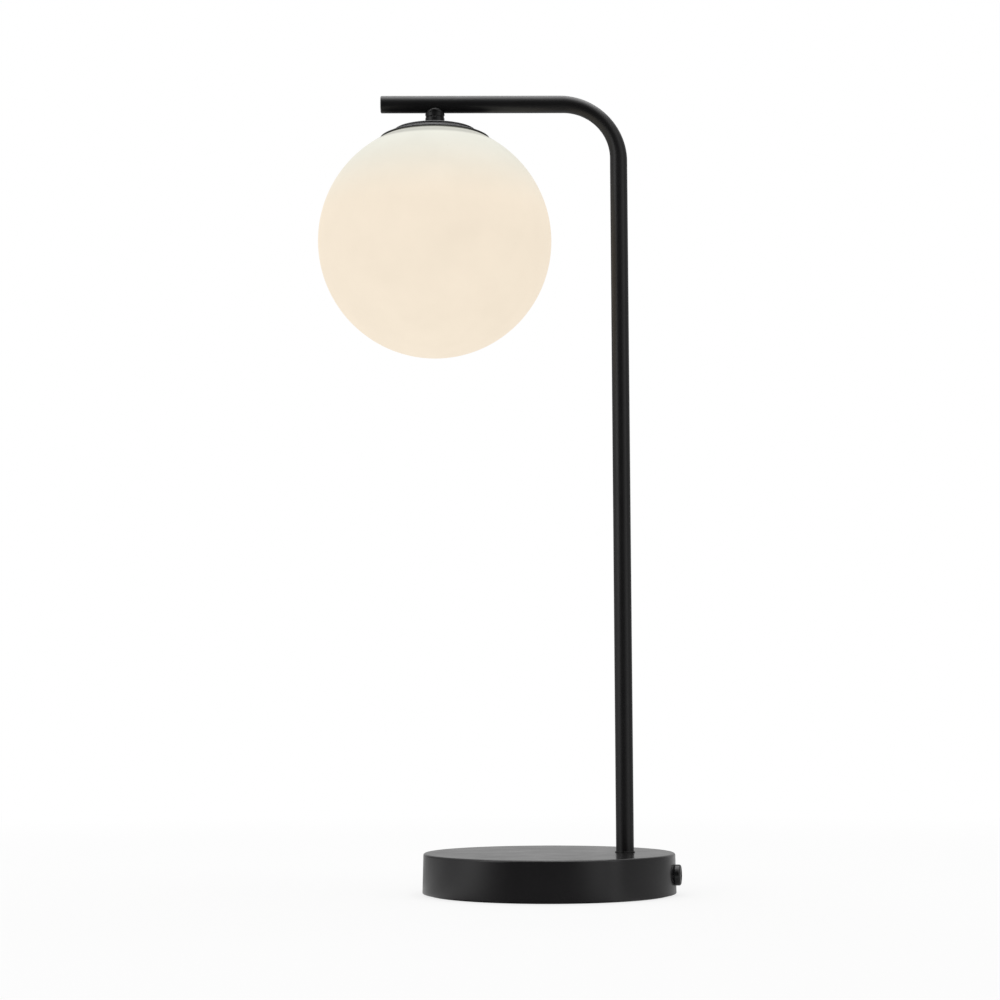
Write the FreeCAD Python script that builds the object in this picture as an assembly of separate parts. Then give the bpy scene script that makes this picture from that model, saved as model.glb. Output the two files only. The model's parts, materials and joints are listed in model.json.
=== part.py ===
import FreeCAD, Part
import math
import os

# Glass globe table lamp, in millimetres. +Z is up and the arm points to -X.
# The origin is the middle of the base, on the surface that the lamp stands on.

V = FreeCAD.Vector
UP = V(0, 0, 1)
DOWN = V(0, 0, -1)

# ---------------------------------------------------------------- clearances
fit_gap = 0.05            # a thread or a shank in its own hole
braze_gap = 0.03          # brazed joint
hole_gap = 0.2            # a clearance hole round a shank or a nipple
moving_gap = 0.35         # between the glass and what stays when it is pulled down

# ---------------------------------------------------------------- how near counts as the same
same_point = 1e-6         # a straight run shorter than this is left out of a path
same_level = 1e-4         # an edge this near to a height lies at it

# ---------------------------------------------------------------- base
base_radius = 90.0        # at the cover's rim
base_height = 28.8        # floor to the flat top
base_draft = 0.6          # the top is narrower than the rim by this much on each side
base_edge_round = 2.5
base_sheet = 1.2
base_rim_lift = 0.8       # the rim stands this far off the floor
pad_thickness = 2.0
pad_inset = 1.5           # from the plate's edge
plate_thickness = 1.5
plate_gap = 0.5           # round the plate, inside the cover
weight_inset = 14.0       # from the cover's rim to the weight's edge
weight_thickness = 10.0
weight_post_hole = 16.0   # radius of the hole round the post's nut
stud_radius = 2.5
stud_inset = 21.0         # from the weight's edge to the studs' middles
stud_turn = 60.0          # angle of the first stud
stud_tip = 1.0            # thread that shows below a nut
stud_nut_flats = 8.0
stud_nut_height = 4.0
pillar_radius = 5.0       # cast feet of the weight that carry the plate
pillar_inset = 10.0       # from the weight's edge to the pillars' middles
pillar_turn = 30.0        # angle of the first pillar
plate_screw_radius = 2.0
plate_screw_head = 3.5
plate_screw_length = 12.0
set_count = 3             # studs, pillars and plate screws, evenly spaced

# ---------------------------------------------------------------- cord bushing
bushing_turn = -11.0      # its direction, from +X towards the front
bushing_height = 14.0
bushing_head_radius = 7.3
bushing_head_depth = 4.2
bushing_head_round = 1.2
bushing_thread_radius = 5.5
bushing_thread_length = 9.0
bushing_bore = 3.2
bushing_mouth = 0.9       # chamfer at the mouth of the bore
bushing_nut_flats = 14.0
bushing_nut_depth = 3.0

# ---------------------------------------------------------------- post and arm
post_inset = 36.0         # from the cover's rim to the post's axis
tube_radius = 6.35
tube_wall = 1.2
arm_height = 575.2        # floor to the arm's axis
bend_radius = 38.0        # of the tube's axis
arm_reach = 175.7         # post's axis to the arm's tip
neck_reach = 135.4        # post's axis to the neck's axis
foot_ring_radius = 7.4
foot_ring_height = 0.8
plug_head = 1.2           # thickness of the plug's head
plug_round = 0.5
plug_stem = 6.0

# ---------------------------------------------------------------- hollow threads and their nuts
nipple_radius = 5.0
nipple_bore = 3.75
nipple_nut_flats = 14.0
post_grip = 22.0          # length of nipple inside the post
post_washer_radius = 13.0
post_washer_thickness = 2.0
post_nut_height = 4.0
nipple_tip = 1.0          # thread that shows past a nut
bush_flange = 5.8
bush_flange_thickness = 1.2
bush_wall = 0.6
bush_depth = 5.0

# ---------------------------------------------------------------- neck
collar_radius = 6.75
collar_drop = 10.2        # arm's axis down to the collar's lower face
saddle_top = 2.6          # arm's axis down to the crown of the saddle
sleeve_radius = 7.1
sleeve_chamfer = 0.5
arm_hole_radius = 4.0

# ---------------------------------------------------------------- cap
cap_drop = 20.8           # arm's axis down to the flat of the cap
cap_sheet = 1.0
cap_step_radius = 31.0
cap_step_round = 1.0
cap_brim_radius = 40.5
cap_nut_height = 3.0

# ---------------------------------------------------------------- globe, its seal and its clip
globe_radius = 85.5
globe_wall = 3.0
mouth_radius = 28.0
mouth_round = 0.7
seal_radius = 29.6
seal_thickness = 0.8      # between the glass and the cap
seal_inset = 1.3          # the seal reaches this far inside the mouth's wall
clip_thickness = 0.6
clip_width = 8.0
clip_hub_radius = 10.5
clip_leg_inset = 2.4      # the leg passes the mouth's wall at this distance
clip_grip = 2.4           # the shoulder reaches this far under the glass
clip_tail = 10.0          # the tail's length below the shoulder
clip_tail_inset = 7.0
clip_legs = 3
clip_turn = 0.0           # angle of the first leg
clip_bend = 1.0

# ---------------------------------------------------------------- bulb
bulb_radius = 22.5
bulb_length = 78.0
bulb_seat = 22.3          # holder's top face down to the bulb's tip
bulb_wall = 1.0
bulb_shoulder_radius = 19.0  # where the ball is drawn in to the neck
bulb_neck_radius = 14.2
bulb_neck_height = 42.0   # ball's lowest point to the neck's upper edge
bulb_housing_step = 2.5   # the housing's rim is this much wider than its waist
bulb_housing_rim = 5.0
bulb_housing_top = 8.6    # radius where the housing meets the screw cap
bulb_spigot = 4.0         # length of housing inside the screw cap
screw_cap_radius = 6.9
screw_cap_wall = 0.3
screw_cap_length = 24.0
thread_depth = 0.5
thread_pitch = 2.8
insulator_height = 1.2
insulator_depth = 3.0     # inside the screw cap
contact_radius = 2.4
contact_height = 1.2

# ---------------------------------------------------------------- lampholder
holder_radius = 14.5
holder_wall = 1.3
holder_top_radius = 9.5
holder_top_round = 1.5
holder_shoulder = 9.0     # top face down to the widest part
holder_shoulder_round = 4.0
holder_boss_radius = 7.5
holder_thread_length = 6.0
holder_seam = 3.3         # the seam lies this far under the bulb's tip
holder_skirt_overlap = 1.3  # the skirt hides this much of the bulb's housing
core_web = 2.2
core_depth = 19.5         # bulb's tip down to the core's lower face
shell_wall = 0.6
shell_gap = 0.3           # round the bulb's screw cap
shell_depth = 18.5
contact_gap = 0.3         # bulb's tip to the contact
contact_leaf = 0.6
contact_leaf_radius = 4.0
contact_stem = 1.2
holder_terminal_size = 5.0
holder_terminal_offset = 7.5
holder_strip_width = 4.0
holder_screw_radius = 1.25
holder_screw_head = 2.0
holder_screw_head_depth = 1.6

# ---------------------------------------------------------------- leads and terminals
lead_radius = 1.1
lead_spacing = 2.5        # between the two leads' middles, side by side in the post
lead_height = 10.0        # of the leads under the weight
lead_base_bend = 6.0
lead_spread_bend = 10.0
lead_neck_bend = 8.0
lead_holder_bend = 4.0
lead_grip = 6.0           # length of lead inside the block
lead_holder_grip = 3.5    # length of lead inside a holder's terminal
lead_run_out = 7.5        # straight stretch in front of the block
lead_run_in = 12.0        # straight stretch before the post
fan_drop = 0.8            # the leads part this far under the holder's thread
fan_rise = 2.0            # and are straight again this far over the terminals
block_middle = 14.0       # X of the block's middle
block_length = 17.0       # along the leads
block_width = 28.0
block_height = 11.5
pole_pitch = 9.0
pole_sleeve_radius = 2.6
pole_sleeve_bore = 1.6
pole_sleeve_inset = 1.0
pole_screw_radius = 1.4
pole_screw_offset = 4.5
pole_screw_inset = 0.2
block_screw_radius = 1.5
block_screw_head = 2.6
block_screw_head_height = 1.5
block_screw_depth = 6.0   # in the weight
earth_x = 30.0
earth_y = 32.0
earth_tag_radius = 4.5
earth_tag_thickness = 0.8
earth_barrel_radius = 1.9
earth_barrel_length = 6.0
earth_barrel_overlap = 0.7
earth_lead_grip = 4.0
earth_rise = 7.0          # length of the stretch that climbs to the tag
earth_bend = 4.0
earth_screw_radius = 2.0
earth_screw_head = 3.5
earth_screw_head_height = 2.4
earth_screw_depth = 6.0

# ---------------------------------------------------------------- places worked out from them
cover_under = base_height - base_sheet
weight_bottom = cover_under - weight_thickness
plate_bottom = pad_thickness
plate_top = plate_bottom + plate_thickness
plate_radius = base_radius - base_sheet - plate_gap
weight_radius = base_radius - weight_inset
stud_circle = weight_radius - stud_inset
pillar_circle = weight_radius - pillar_inset
post_offset = base_radius - post_inset
pad_radius = plate_radius - pad_inset
post_foot = base_height + foot_ring_height
tube_bore = tube_radius - tube_wall
neck_x = post_offset - neck_reach
arm_tip = post_offset - arm_reach
post_nut_bottom = cover_under - post_washer_thickness - post_nut_height
post_nipple_bottom = post_nut_bottom - nipple_tip
collar_bottom = arm_height - collar_drop
cap_top = arm_height - cap_drop
cap_under = cap_top - cap_sheet
cap_nut_top = cap_under - clip_thickness
cap_nut_bottom = cap_nut_top - cap_nut_height
holder_top = cap_nut_bottom - hole_gap
holder_thread_bottom = holder_top - holder_thread_length
neck_nipple_top = arm_height - tube_radius - hole_gap
neck_nipple_bottom = holder_thread_bottom + nipple_tip
brim_inner = globe_radius + moving_gap
brim_outer = brim_inner + cap_sheet
mouth_top = cap_under - seal_thickness
globe_centre = mouth_top - math.sqrt(globe_radius ** 2 - mouth_radius ** 2)
bulb_top = holder_top - bulb_seat
bulb_bottom = bulb_top - bulb_length
bulb_centre = bulb_bottom + bulb_radius
screw_cap_top = bulb_top - contact_height - insulator_height
screw_cap_bottom = screw_cap_top - screw_cap_length
neck_top = bulb_bottom + bulb_neck_height
core_top = bulb_top + contact_gap + contact_leaf + core_web
core_bottom = bulb_top - core_depth
core_radius = holder_radius - holder_wall - fit_gap
shell_inner = screw_cap_radius + shell_gap
shell_outer = shell_inner + shell_wall
shell_top = bulb_top - thread_pitch / 2
shell_bottom = bulb_top - shell_depth
skirt_top = bulb_top - holder_seam
skirt_bottom = screw_cap_bottom - holder_skirt_overlap
lead_offset = lead_spacing / 2
block_bottom = weight_bottom - block_height


def path(corners):
    """Edges of straight runs joined by tangent arcs. Each corner is (point, arc radius)."""
    edges = []
    here = corners[0][0]
    for before, corner, after in zip(corners, corners[1:], corners[2:]):
        point, radius = corner
        start = point
        end = point
        if radius > 0:
            back = (before[0] - point).normalize()
            ahead = (after[0] - point).normalize()
            half = back.getAngle(ahead) / 2
            start = point + back * (radius / math.tan(half))
            end = point + ahead * (radius / math.tan(half))
            middle = point + (back + ahead).normalize() * (radius / math.sin(half) - radius)
        if (start - here).Length > same_point:
            edges.append(Part.LineSegment(here, start).toShape())
        if radius > 0:
            edges.append(Part.Arc(start, middle, end).toShape())
        here = end
    edges.append(Part.LineSegment(here, corners[-1][0]).toShape())
    return edges


def turned(outline, base, axis=UP):
    """A solid turned about an axis. Outline points are (radius, distance along the axis, rounding)."""
    side = axis.cross(V(0, 1, 0)).normalize()
    corners = []
    for radius, along, rounding in outline + outline[:1]:
        corners.append((base + side * radius + axis * along, rounding))
    face = Part.Face(Part.Wire(path(corners)))
    return face.revolve(base, axis, 360)


def bar(radius, length, base, axis=UP):
    """A round bar."""
    return Part.makeCylinder(radius, length, base, axis)


def ring(outer, inner, length, base, axis=UP):
    """A round bar with a bore right through it."""
    return bar(outer, length, base, axis).cut(bar(inner, length, base, axis))


def hex_nut(flats, bore, height, base, axis=UP):
    """A hexagon nut with a plain bore."""
    side = axis.cross(V(0, 1, 0)).normalize()
    other = axis.cross(side)
    reach = flats / math.sqrt(3)
    corners = []
    for turn in range(7):
        angle = math.radians(60 * turn)
        corners.append(base + side * (reach * math.cos(angle)) + other * (reach * math.sin(angle)))
    blank = Part.Face(Part.makePolygon(corners)).extrude(axis * height)
    return blank.cut(bar(bore, height, base, axis))


def box(low, high):
    """A block between two corners."""
    size = high - low
    return Part.makeBox(size.x, size.y, size.z, low)


def swept(radius, corners):
    """A round rod along a path."""
    spine = Part.Wire(path(corners))
    start = corners[0][0]
    ahead = corners[1][0] - start
    section = Part.Wire(Part.makeCircle(radius, start, ahead))
    return spine.makePipeShell([section], True, False)


def swept_strip(width, thickness, corners):
    """A flat strip along a path that lies in the XZ plane."""
    spine = Part.Wire(path(corners))
    start = corners[0][0]
    ahead = (corners[1][0] - start).normalize()
    across = V(0, width / 2, 0)
    thick = ahead.cross(V(0, 1, 0)) * (thickness / 2)
    loop = [start + across + thick, start + across - thick, start - across - thick, start - across + thick]
    section = Part.makePolygon(loop + loop[:1])
    return spine.makePipeShell([section], True, False)


def around(circle, first_turn):
    """The evenly spaced places of a set of three on a circle round the base's middle."""
    places = []
    for step in range(set_count):
        angle = math.radians(first_turn + 360.0 * step / set_count)
        places.append((circle * math.cos(angle), circle * math.sin(angle)))
    return places


def cover_radius(height):
    """The cover's outer radius at a height: it leans in a little towards the top."""
    share = (height - base_rim_lift) / (base_height - base_rim_lift)
    return base_radius - base_draft * share


def holes(solid, cutters):
    """A solid less a list of cutters."""
    for cutter in cutters:
        solid = solid.cut(cutter)
    return solid


def rounded_at(solid, heights, rounding):
    """A solid whose level edges at some heights are rounded."""
    rims = []
    for edge in solid.Edges:
        span = edge.BoundBox
        for height in heights:
            if max(abs(span.ZMin - height), abs(span.ZMax - height)) < same_level:
                rims.append(edge)
    return solid.makeFillet(rounding, rims)


bushing_angle = math.radians(bushing_turn)
bushing_out = V(math.cos(bushing_angle), math.sin(bushing_angle), 0)
bushing_middle = V(0, 0, bushing_height)
post_middle = V(post_offset, 0, 0)
neck_middle = V(neck_x, 0, 0)


# ---------------------------------------------------------------- base
def make_base_cover():
    top_radius = base_radius - base_draft
    inner_round = base_edge_round - base_sheet
    cup = turned([
        (0, base_height, 0),
        (top_radius, base_height, base_edge_round),
        (base_radius, base_rim_lift, 0),
        (base_radius - base_sheet, base_rim_lift, 0),
        (top_radius - base_sheet, cover_under, inner_round),
        (0, cover_under, 0),
    ], V(0, 0, 0))
    post_hole = bar(nipple_radius + hole_gap, base_sheet, post_middle + UP * cover_under)
    cord_hole = bar(bushing_thread_radius + hole_gap, base_radius, bushing_middle, bushing_out)
    return holes(cup, [post_hole, cord_hole])


def make_cover_studs():
    length = weight_thickness + stud_nut_height + stud_tip
    studs = []
    for x, y in around(stud_circle, stud_turn):
        studs.append(bar(stud_radius, length, V(x, y, cover_under - length)))
    return Part.makeCompound(studs)


def make_stud_nuts():
    nuts = []
    for x, y in around(stud_circle, stud_turn):
        place = V(x, y, weight_bottom - stud_nut_height)
        nuts.append(hex_nut(stud_nut_flats, stud_radius + fit_gap, stud_nut_height, place))
    return Part.makeCompound(nuts)


def make_counterweight():
    disc = bar(weight_radius, weight_thickness, V(0, 0, weight_bottom))
    cutters = [bar(weight_post_hole, weight_thickness, post_middle + UP * weight_bottom)]
    for x, y in around(stud_circle, stud_turn):
        cutters.append(bar(stud_radius + hole_gap, weight_thickness, V(x, y, weight_bottom)))
    for x, y in around(pillar_circle, pillar_turn):
        disc = disc.fuse(bar(pillar_radius, weight_bottom - plate_top, V(x, y, plate_top)))
        cutters.append(bar(plate_screw_radius + fit_gap, plate_screw_length, V(x, y, plate_top)))
    for y in (-pole_pitch / 2, pole_pitch / 2):
        place = V(block_middle, y, weight_bottom)
        cutters.append(bar(block_screw_radius + fit_gap, block_screw_depth, place))
    earth_place = V(earth_x, earth_y, weight_bottom)
    cutters.append(bar(earth_screw_radius + fit_gap, earth_screw_depth, earth_place))
    return holes(disc, cutters)


def plate_screw(x, y, gap):
    """One countersunk plate screw, or with a gap the hole that it sits in."""
    head = Part.makeCone(plate_screw_head + gap, plate_screw_radius + gap, plate_thickness,
                         V(x, y, plate_bottom))
    shank_length = plate_screw_length - plate_thickness
    return head.fuse(bar(plate_screw_radius + gap, shank_length, V(x, y, plate_top)))


def make_bottom_plate():
    disc = bar(plate_radius, plate_thickness, V(0, 0, plate_bottom))
    return holes(disc, [plate_screw(x, y, fit_gap) for x, y in around(pillar_circle, pillar_turn)])


def make_plate_screws():
    return Part.makeCompound([plate_screw(x, y, 0) for x, y in around(pillar_circle, pillar_turn)])


def make_foot_pad():
    return bar(pad_radius, pad_thickness, V(0, 0, 0))


# ---------------------------------------------------------------- cord bushing
def make_cord_bushing():
    seat = cover_radius(bushing_height - bushing_head_radius) + fit_gap
    tip = seat + bushing_head_depth
    return turned([
        (bushing_bore, tip - bushing_mouth, 0),
        (bushing_bore + bushing_mouth, tip, 0),
        (bushing_head_radius, tip, bushing_head_round),
        (bushing_head_radius, seat, 0),
        (bushing_thread_radius, seat, 0),
        (bushing_thread_radius, seat - bushing_thread_length, 0),
        (bushing_bore, seat - bushing_thread_length, 0),
    ], bushing_middle, bushing_out)


def make_bushing_nut():
    reach = bushing_nut_flats / math.sqrt(3)
    inner_wall = cover_radius(bushing_height + reach) - base_sheet
    face = math.sqrt(inner_wall ** 2 - reach ** 2) - fit_gap
    place = bushing_middle + bushing_out * (face - bushing_nut_depth)
    bore = bushing_thread_radius + fit_gap
    return hex_nut(bushing_nut_flats, bore, bushing_nut_depth, place, bushing_out)


# ---------------------------------------------------------------- terminal block and earth point
pole_places = [-pole_pitch, 0.0, pole_pitch]
block_face = block_middle + block_length / 2
along_x = V(1, 0, 0)


def make_terminal_block():
    low = V(block_middle - block_length / 2, -block_width / 2, block_bottom)
    body = box(low, V(block_face, block_width / 2, weight_bottom))
    cutters = []
    for y in pole_places:
        start = V(low.x, y, lead_height)
        cutters.append(bar(pole_sleeve_radius + fit_gap, block_length, start, along_x))
        for x in (block_middle - pole_screw_offset, block_middle + pole_screw_offset):
            height = lead_height - block_bottom
            cutters.append(bar(pole_screw_radius + fit_gap, height, V(x, y, block_bottom)))
    for y in (-pole_pitch / 2, pole_pitch / 2):
        place = V(block_middle, y, block_bottom)
        cutters.append(bar(block_screw_radius + fit_gap, block_height, place))
    return holes(body, cutters)


def make_terminal_sleeves():
    sleeves = []
    length = block_length - 2 * pole_sleeve_inset
    for y in pole_places:
        start = V(block_face - pole_sleeve_inset - length, y, lead_height)
        sleeve = ring(pole_sleeve_radius, pole_sleeve_bore, length, start, along_x)
        for x in (block_middle - pole_screw_offset, block_middle + pole_screw_offset):
            hole = bar(pole_screw_radius + fit_gap, pole_sleeve_radius, V(x, y, lead_height), DOWN)
            sleeve = sleeve.cut(hole)
        sleeves.append(sleeve)
    return Part.makeCompound(sleeves)


def make_terminal_screws():
    screws = []
    start = block_bottom + pole_screw_inset
    length = lead_height - lead_radius - fit_gap - start
    for y in pole_places:
        for x in (block_middle - pole_screw_offset, block_middle + pole_screw_offset):
            screws.append(bar(pole_screw_radius, length, V(x, y, start)))
    return Part.makeCompound(screws)


def make_block_screws():
    screws = []
    for y in (-pole_pitch / 2, pole_pitch / 2):
        place = V(block_middle, y, block_bottom)
        shank = bar(block_screw_radius, block_height + block_screw_depth, place)
        head = bar(block_screw_head, block_screw_head_height, place, DOWN)
        screws.append(shank.fuse(head))
    return Part.makeCompound(screws)


barrel_height = weight_bottom - earth_barrel_radius
barrel_end = earth_y - earth_tag_radius - earth_barrel_length


def make_earth_tag():
    disc = bar(earth_tag_radius, earth_tag_thickness, V(earth_x, earth_y, weight_bottom), DOWN)
    barrel_start = V(earth_x, barrel_end, barrel_height)
    barrel_length = earth_barrel_length + earth_barrel_overlap
    barrel = bar(earth_barrel_radius, barrel_length, barrel_start, V(0, 1, 0))
    tag = disc.fuse(barrel)
    screw_hole = bar(earth_screw_radius + fit_gap, earth_tag_thickness,
                     V(earth_x, earth_y, weight_bottom), DOWN)
    lead_hole = bar(lead_radius + fit_gap, earth_lead_grip + fit_gap, barrel_start, V(0, 1, 0))
    return holes(tag, [screw_hole, lead_hole])


def make_earth_screw():
    head_top = V(earth_x, earth_y, weight_bottom - earth_tag_thickness)
    shank = bar(earth_screw_radius, earth_tag_thickness + earth_screw_depth, head_top)
    return shank.fuse(bar(earth_screw_head, earth_screw_head_height, head_top, DOWN))


def make_earth_lead():
    y = pole_places[2]
    rise = V(earth_x, y + earth_rise, barrel_height)
    return swept(lead_radius, [
        (V(block_face - pole_sleeve_inset - lead_grip, y, lead_height), 0),
        (V(earth_x, y, lead_height), earth_bend),
        (rise, earth_bend),
        (V(earth_x, barrel_end + earth_lead_grip, barrel_height), 0),
    ])


# ---------------------------------------------------------------- post and arm
def make_post_foot_ring():
    foot = V(post_offset, 0, base_height)
    return ring(foot_ring_radius, nipple_radius + hole_gap, foot_ring_height, foot)


def make_post_nipple():
    length = post_foot + post_grip - post_nipple_bottom
    return ring(nipple_radius, nipple_bore, length, post_middle + UP * post_nipple_bottom)


def make_post_washer():
    place = post_middle + UP * (cover_under - post_washer_thickness)
    return ring(post_washer_radius, nipple_radius + hole_gap, post_washer_thickness, place)


def make_post_locknut():
    place = post_middle + UP * post_nut_bottom
    return hex_nut(nipple_nut_flats, nipple_radius + fit_gap, post_nut_height, place)


def make_nipple_bush():
    plug_radius = nipple_bore - fit_gap
    flange = bar(bush_flange, bush_flange_thickness, post_middle + UP * post_nipple_bottom, DOWN)
    plug = bar(plug_radius, bush_depth, post_middle + UP * post_nipple_bottom)
    start = post_middle + UP * (post_nipple_bottom - bush_flange_thickness)
    bore = bar(plug_radius - bush_wall, bush_flange_thickness + bush_depth, start)
    return flange.fuse(plug).cut(bore)


def make_lamp_tube():
    corners = [
        (V(post_offset, 0, post_foot), 0),
        (V(post_offset, 0, arm_height), bend_radius),
        (V(arm_tip + plug_head, 0, arm_height), 0),
    ]
    tube = swept(tube_radius, corners).cut(swept(tube_bore, corners))
    lead_hole = bar(arm_hole_radius, tube_radius + hole_gap, V(neck_x, 0, arm_height), DOWN)
    return tube.cut(lead_hole)


def make_arm_end_plug():
    return turned([
        (0, -plug_head, 0),
        (tube_radius, -plug_head, plug_round),
        (tube_radius, 0, 0),
        (tube_bore - fit_gap, 0, 0),
        (tube_bore - fit_gap, plug_stem, 0),
        (0, plug_stem, 0),
    ], V(arm_tip + plug_head, 0, arm_height), along_x)


# ---------------------------------------------------------------- neck
def make_neck_collar():
    shoulder = arm_height - tube_radius
    crown = arm_height - saddle_top
    depth = 2 * collar_radius
    front = -depth / 2
    left = neck_x - collar_radius
    right = neck_x + collar_radius
    outline = [
        Part.LineSegment(V(left, front, shoulder), V(left, front, collar_bottom)).toShape(),
        Part.LineSegment(V(left, front, collar_bottom), V(right, front, collar_bottom)).toShape(),
        Part.LineSegment(V(right, front, collar_bottom), V(right, front, shoulder)).toShape(),
        Part.Arc(V(right, front, shoulder), V(neck_x, front, crown), V(left, front, shoulder)).toShape(),
    ]
    arch = Part.Face(Part.Wire(outline)).extrude(V(0, depth, 0))
    post = bar(collar_radius, crown - collar_bottom, neck_middle + UP * collar_bottom)
    arm_seat = bar(tube_radius + braze_gap, 4 * collar_radius,
                   V(neck_x - 2 * collar_radius, 0, arm_height), along_x)
    bore = bar(nipple_radius + fit_gap, collar_drop, neck_middle + UP * collar_bottom)
    return post.common(arch).cut(arm_seat).cut(bore)


def make_neck_sleeve():
    bore = nipple_radius + hole_gap
    return turned([
        (bore, cap_top, 0),
        (sleeve_radius, cap_top, 0),
        (sleeve_radius, collar_bottom - sleeve_chamfer, 0),
        (sleeve_radius - sleeve_chamfer, collar_bottom, 0),
        (bore, collar_bottom, 0),
    ], neck_middle)


def make_neck_nipple():
    place = neck_middle + UP * neck_nipple_bottom
    return ring(nipple_radius, nipple_bore, neck_nipple_top - neck_nipple_bottom, place)


# ---------------------------------------------------------------- cap, clip and globe
globe_middle = V(neck_x, 0, globe_centre)


def make_globe_cap():
    dome = Part.makeSphere(brim_outer, globe_middle)
    brim = dome.common(ring(cap_brim_radius, cap_step_radius - cap_sheet, globe_radius, globe_middle))
    step = bar(cap_step_radius, cap_top - globe_centre, globe_middle)
    step = rounded_at(step, [cap_top], cap_step_round)
    inside = bar(cap_brim_radius, cap_under - globe_centre, globe_middle)
    hollow = Part.makeSphere(brim_inner, globe_middle).common(inside)
    hollow = hollow.fuse(bar(cap_step_radius - cap_sheet, cap_under - globe_centre, globe_middle))
    hole = bar(nipple_radius + hole_gap, cap_top, neck_middle)
    return brim.fuse(step).cut(hollow).cut(hole)


def make_cap_locknut():
    place = neck_middle + UP * cap_nut_bottom
    return hex_nut(nipple_nut_flats, nipple_radius + fit_gap, cap_nut_height, place)


def mouth_height(sphere_radius, radius):
    """Height above the floor of a sphere about the globe's middle, at a radius from its axis."""
    return globe_centre + math.sqrt(sphere_radius ** 2 - radius ** 2)


def make_globe_clip():
    glass_inner = globe_radius - globe_wall
    leg = mouth_radius - clip_leg_inset
    shoulder = mouth_radius + clip_grip
    half = clip_thickness / 2
    flat = cap_nut_top + half
    heel = mouth_height(glass_inner, mouth_radius) - half
    grip = mouth_height(glass_inner, shoulder) - moving_gap - half
    line = [
        (V(neck_x + clip_hub_radius - clip_bend, 0, flat), 0),
        (V(neck_x + leg, 0, flat), clip_bend),
        (V(neck_x + leg, 0, heel), clip_bend),
        (V(neck_x + shoulder, 0, grip), clip_bend),
        (V(neck_x + shoulder - clip_tail_inset, 0, grip - clip_tail), 0),
    ]
    clip = ring(clip_hub_radius, nipple_radius + hole_gap, clip_thickness,
                neck_middle + UP * cap_nut_top)
    for step in range(clip_legs):
        strip = swept_strip(clip_width, clip_thickness, line)
        strip.rotate(neck_middle, UP, clip_turn + 360.0 * step / clip_legs)
        clip = clip.fuse(strip)
    return clip


def make_glass_seal():
    place = neck_middle + UP * mouth_top
    return ring(seal_radius, mouth_radius - seal_inset, seal_thickness, place)


def make_glass_globe():
    glass = Part.makeSphere(globe_radius, globe_middle)
    glass = glass.cut(Part.makeSphere(globe_radius - globe_wall, globe_middle))
    glass = glass.cut(bar(mouth_radius, globe_radius, globe_middle))
    inner_rim = mouth_height(globe_radius - globe_wall, mouth_radius)
    return rounded_at(glass, [mouth_top, inner_rim], mouth_round)


# ---------------------------------------------------------------- bulb
bulb_middle = V(neck_x, 0, bulb_centre)


def bulb_form(inset):
    """The bulb's glass as a solid, smaller all round by an inset: a ball drawn in to a neck."""
    reach = math.sqrt(bulb_radius ** 2 - bulb_shoulder_radius ** 2)
    ball = Part.makeSphere(bulb_radius - inset, bulb_middle)
    ball = ball.common(bar(bulb_radius, bulb_radius + reach, neck_middle + UP * bulb_bottom))
    shoulder = bulb_middle + UP * reach
    cone = Part.makeCone(bulb_shoulder_radius - inset, bulb_neck_radius - inset,
                         neck_top - shoulder.z, shoulder)
    return ball.fuse(cone)


def make_bulb_glass():
    return bulb_form(0).cut(bulb_form(bulb_wall))


def make_bulb_housing():
    spigot = screw_cap_radius - thread_depth - screw_cap_wall - fit_gap
    return turned([
        (0, neck_top, 0),
        (bulb_neck_radius, neck_top, 0),
        (bulb_neck_radius - bulb_housing_step, neck_top + bulb_housing_rim, bulb_housing_step),
        (bulb_housing_top, screw_cap_bottom, 0),
        (spigot, screw_cap_bottom, 0),
        (spigot, screw_cap_bottom + bulb_spigot, 0),
        (0, screw_cap_bottom + bulb_spigot, 0),
    ], neck_middle)


def make_bulb_screw_cap():
    outer = [(screw_cap_radius, screw_cap_bottom, 0)]
    for turn in range(int(screw_cap_length / thread_pitch)):
        low = screw_cap_bottom + turn * thread_pitch
        outer.append((screw_cap_radius - thread_depth, low + thread_pitch / 4, thread_depth))
        outer.append((screw_cap_radius, low + thread_pitch * 3 / 4, thread_depth))
    outer.append((screw_cap_radius - thread_depth, screw_cap_top, 0))
    inner = [(radius - screw_cap_wall, height, rounding) for radius, height, rounding in outer]
    return turned(outer + inner[::-1], neck_middle)


def make_bulb_insulator():
    plug = screw_cap_radius - thread_depth - screw_cap_wall - fit_gap
    return turned([
        (0, screw_cap_top - insulator_depth, 0),
        (plug, screw_cap_top - insulator_depth, 0),
        (plug, screw_cap_top, 0),
        (contact_radius, screw_cap_top + insulator_height, 0),
        (0, screw_cap_top + insulator_height, 0),
    ], neck_middle)


def make_bulb_contact():
    return turned([
        (0, bulb_top - contact_height, 0),
        (contact_radius, bulb_top - contact_height, 0),
        (contact_radius, bulb_top, contact_height / 2),
        (0, bulb_top, 0),
    ], neck_middle)


# ---------------------------------------------------------------- lampholder
strip_top = core_top + contact_leaf
terminal_top = strip_top + holder_terminal_size
half_strip = holder_strip_width / 2


def make_holder_cap():
    inner = holder_radius - holder_wall
    return turned([
        (nipple_radius + fit_gap, holder_top, 0),
        (holder_top_radius, holder_top, holder_top_round),
        (holder_radius, holder_top - holder_shoulder, holder_shoulder_round),
        (holder_radius, skirt_top, 0),
        (inner, skirt_top, 0),
        (inner, holder_top - holder_shoulder, 0),
        (holder_boss_radius, holder_thread_bottom, 0),
        (nipple_radius + fit_gap, holder_thread_bottom, 0),
    ], neck_middle)


def make_holder_skirt():
    place = neck_middle + UP * skirt_bottom
    return ring(holder_radius, holder_radius - holder_wall, skirt_top - skirt_bottom, place)


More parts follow.
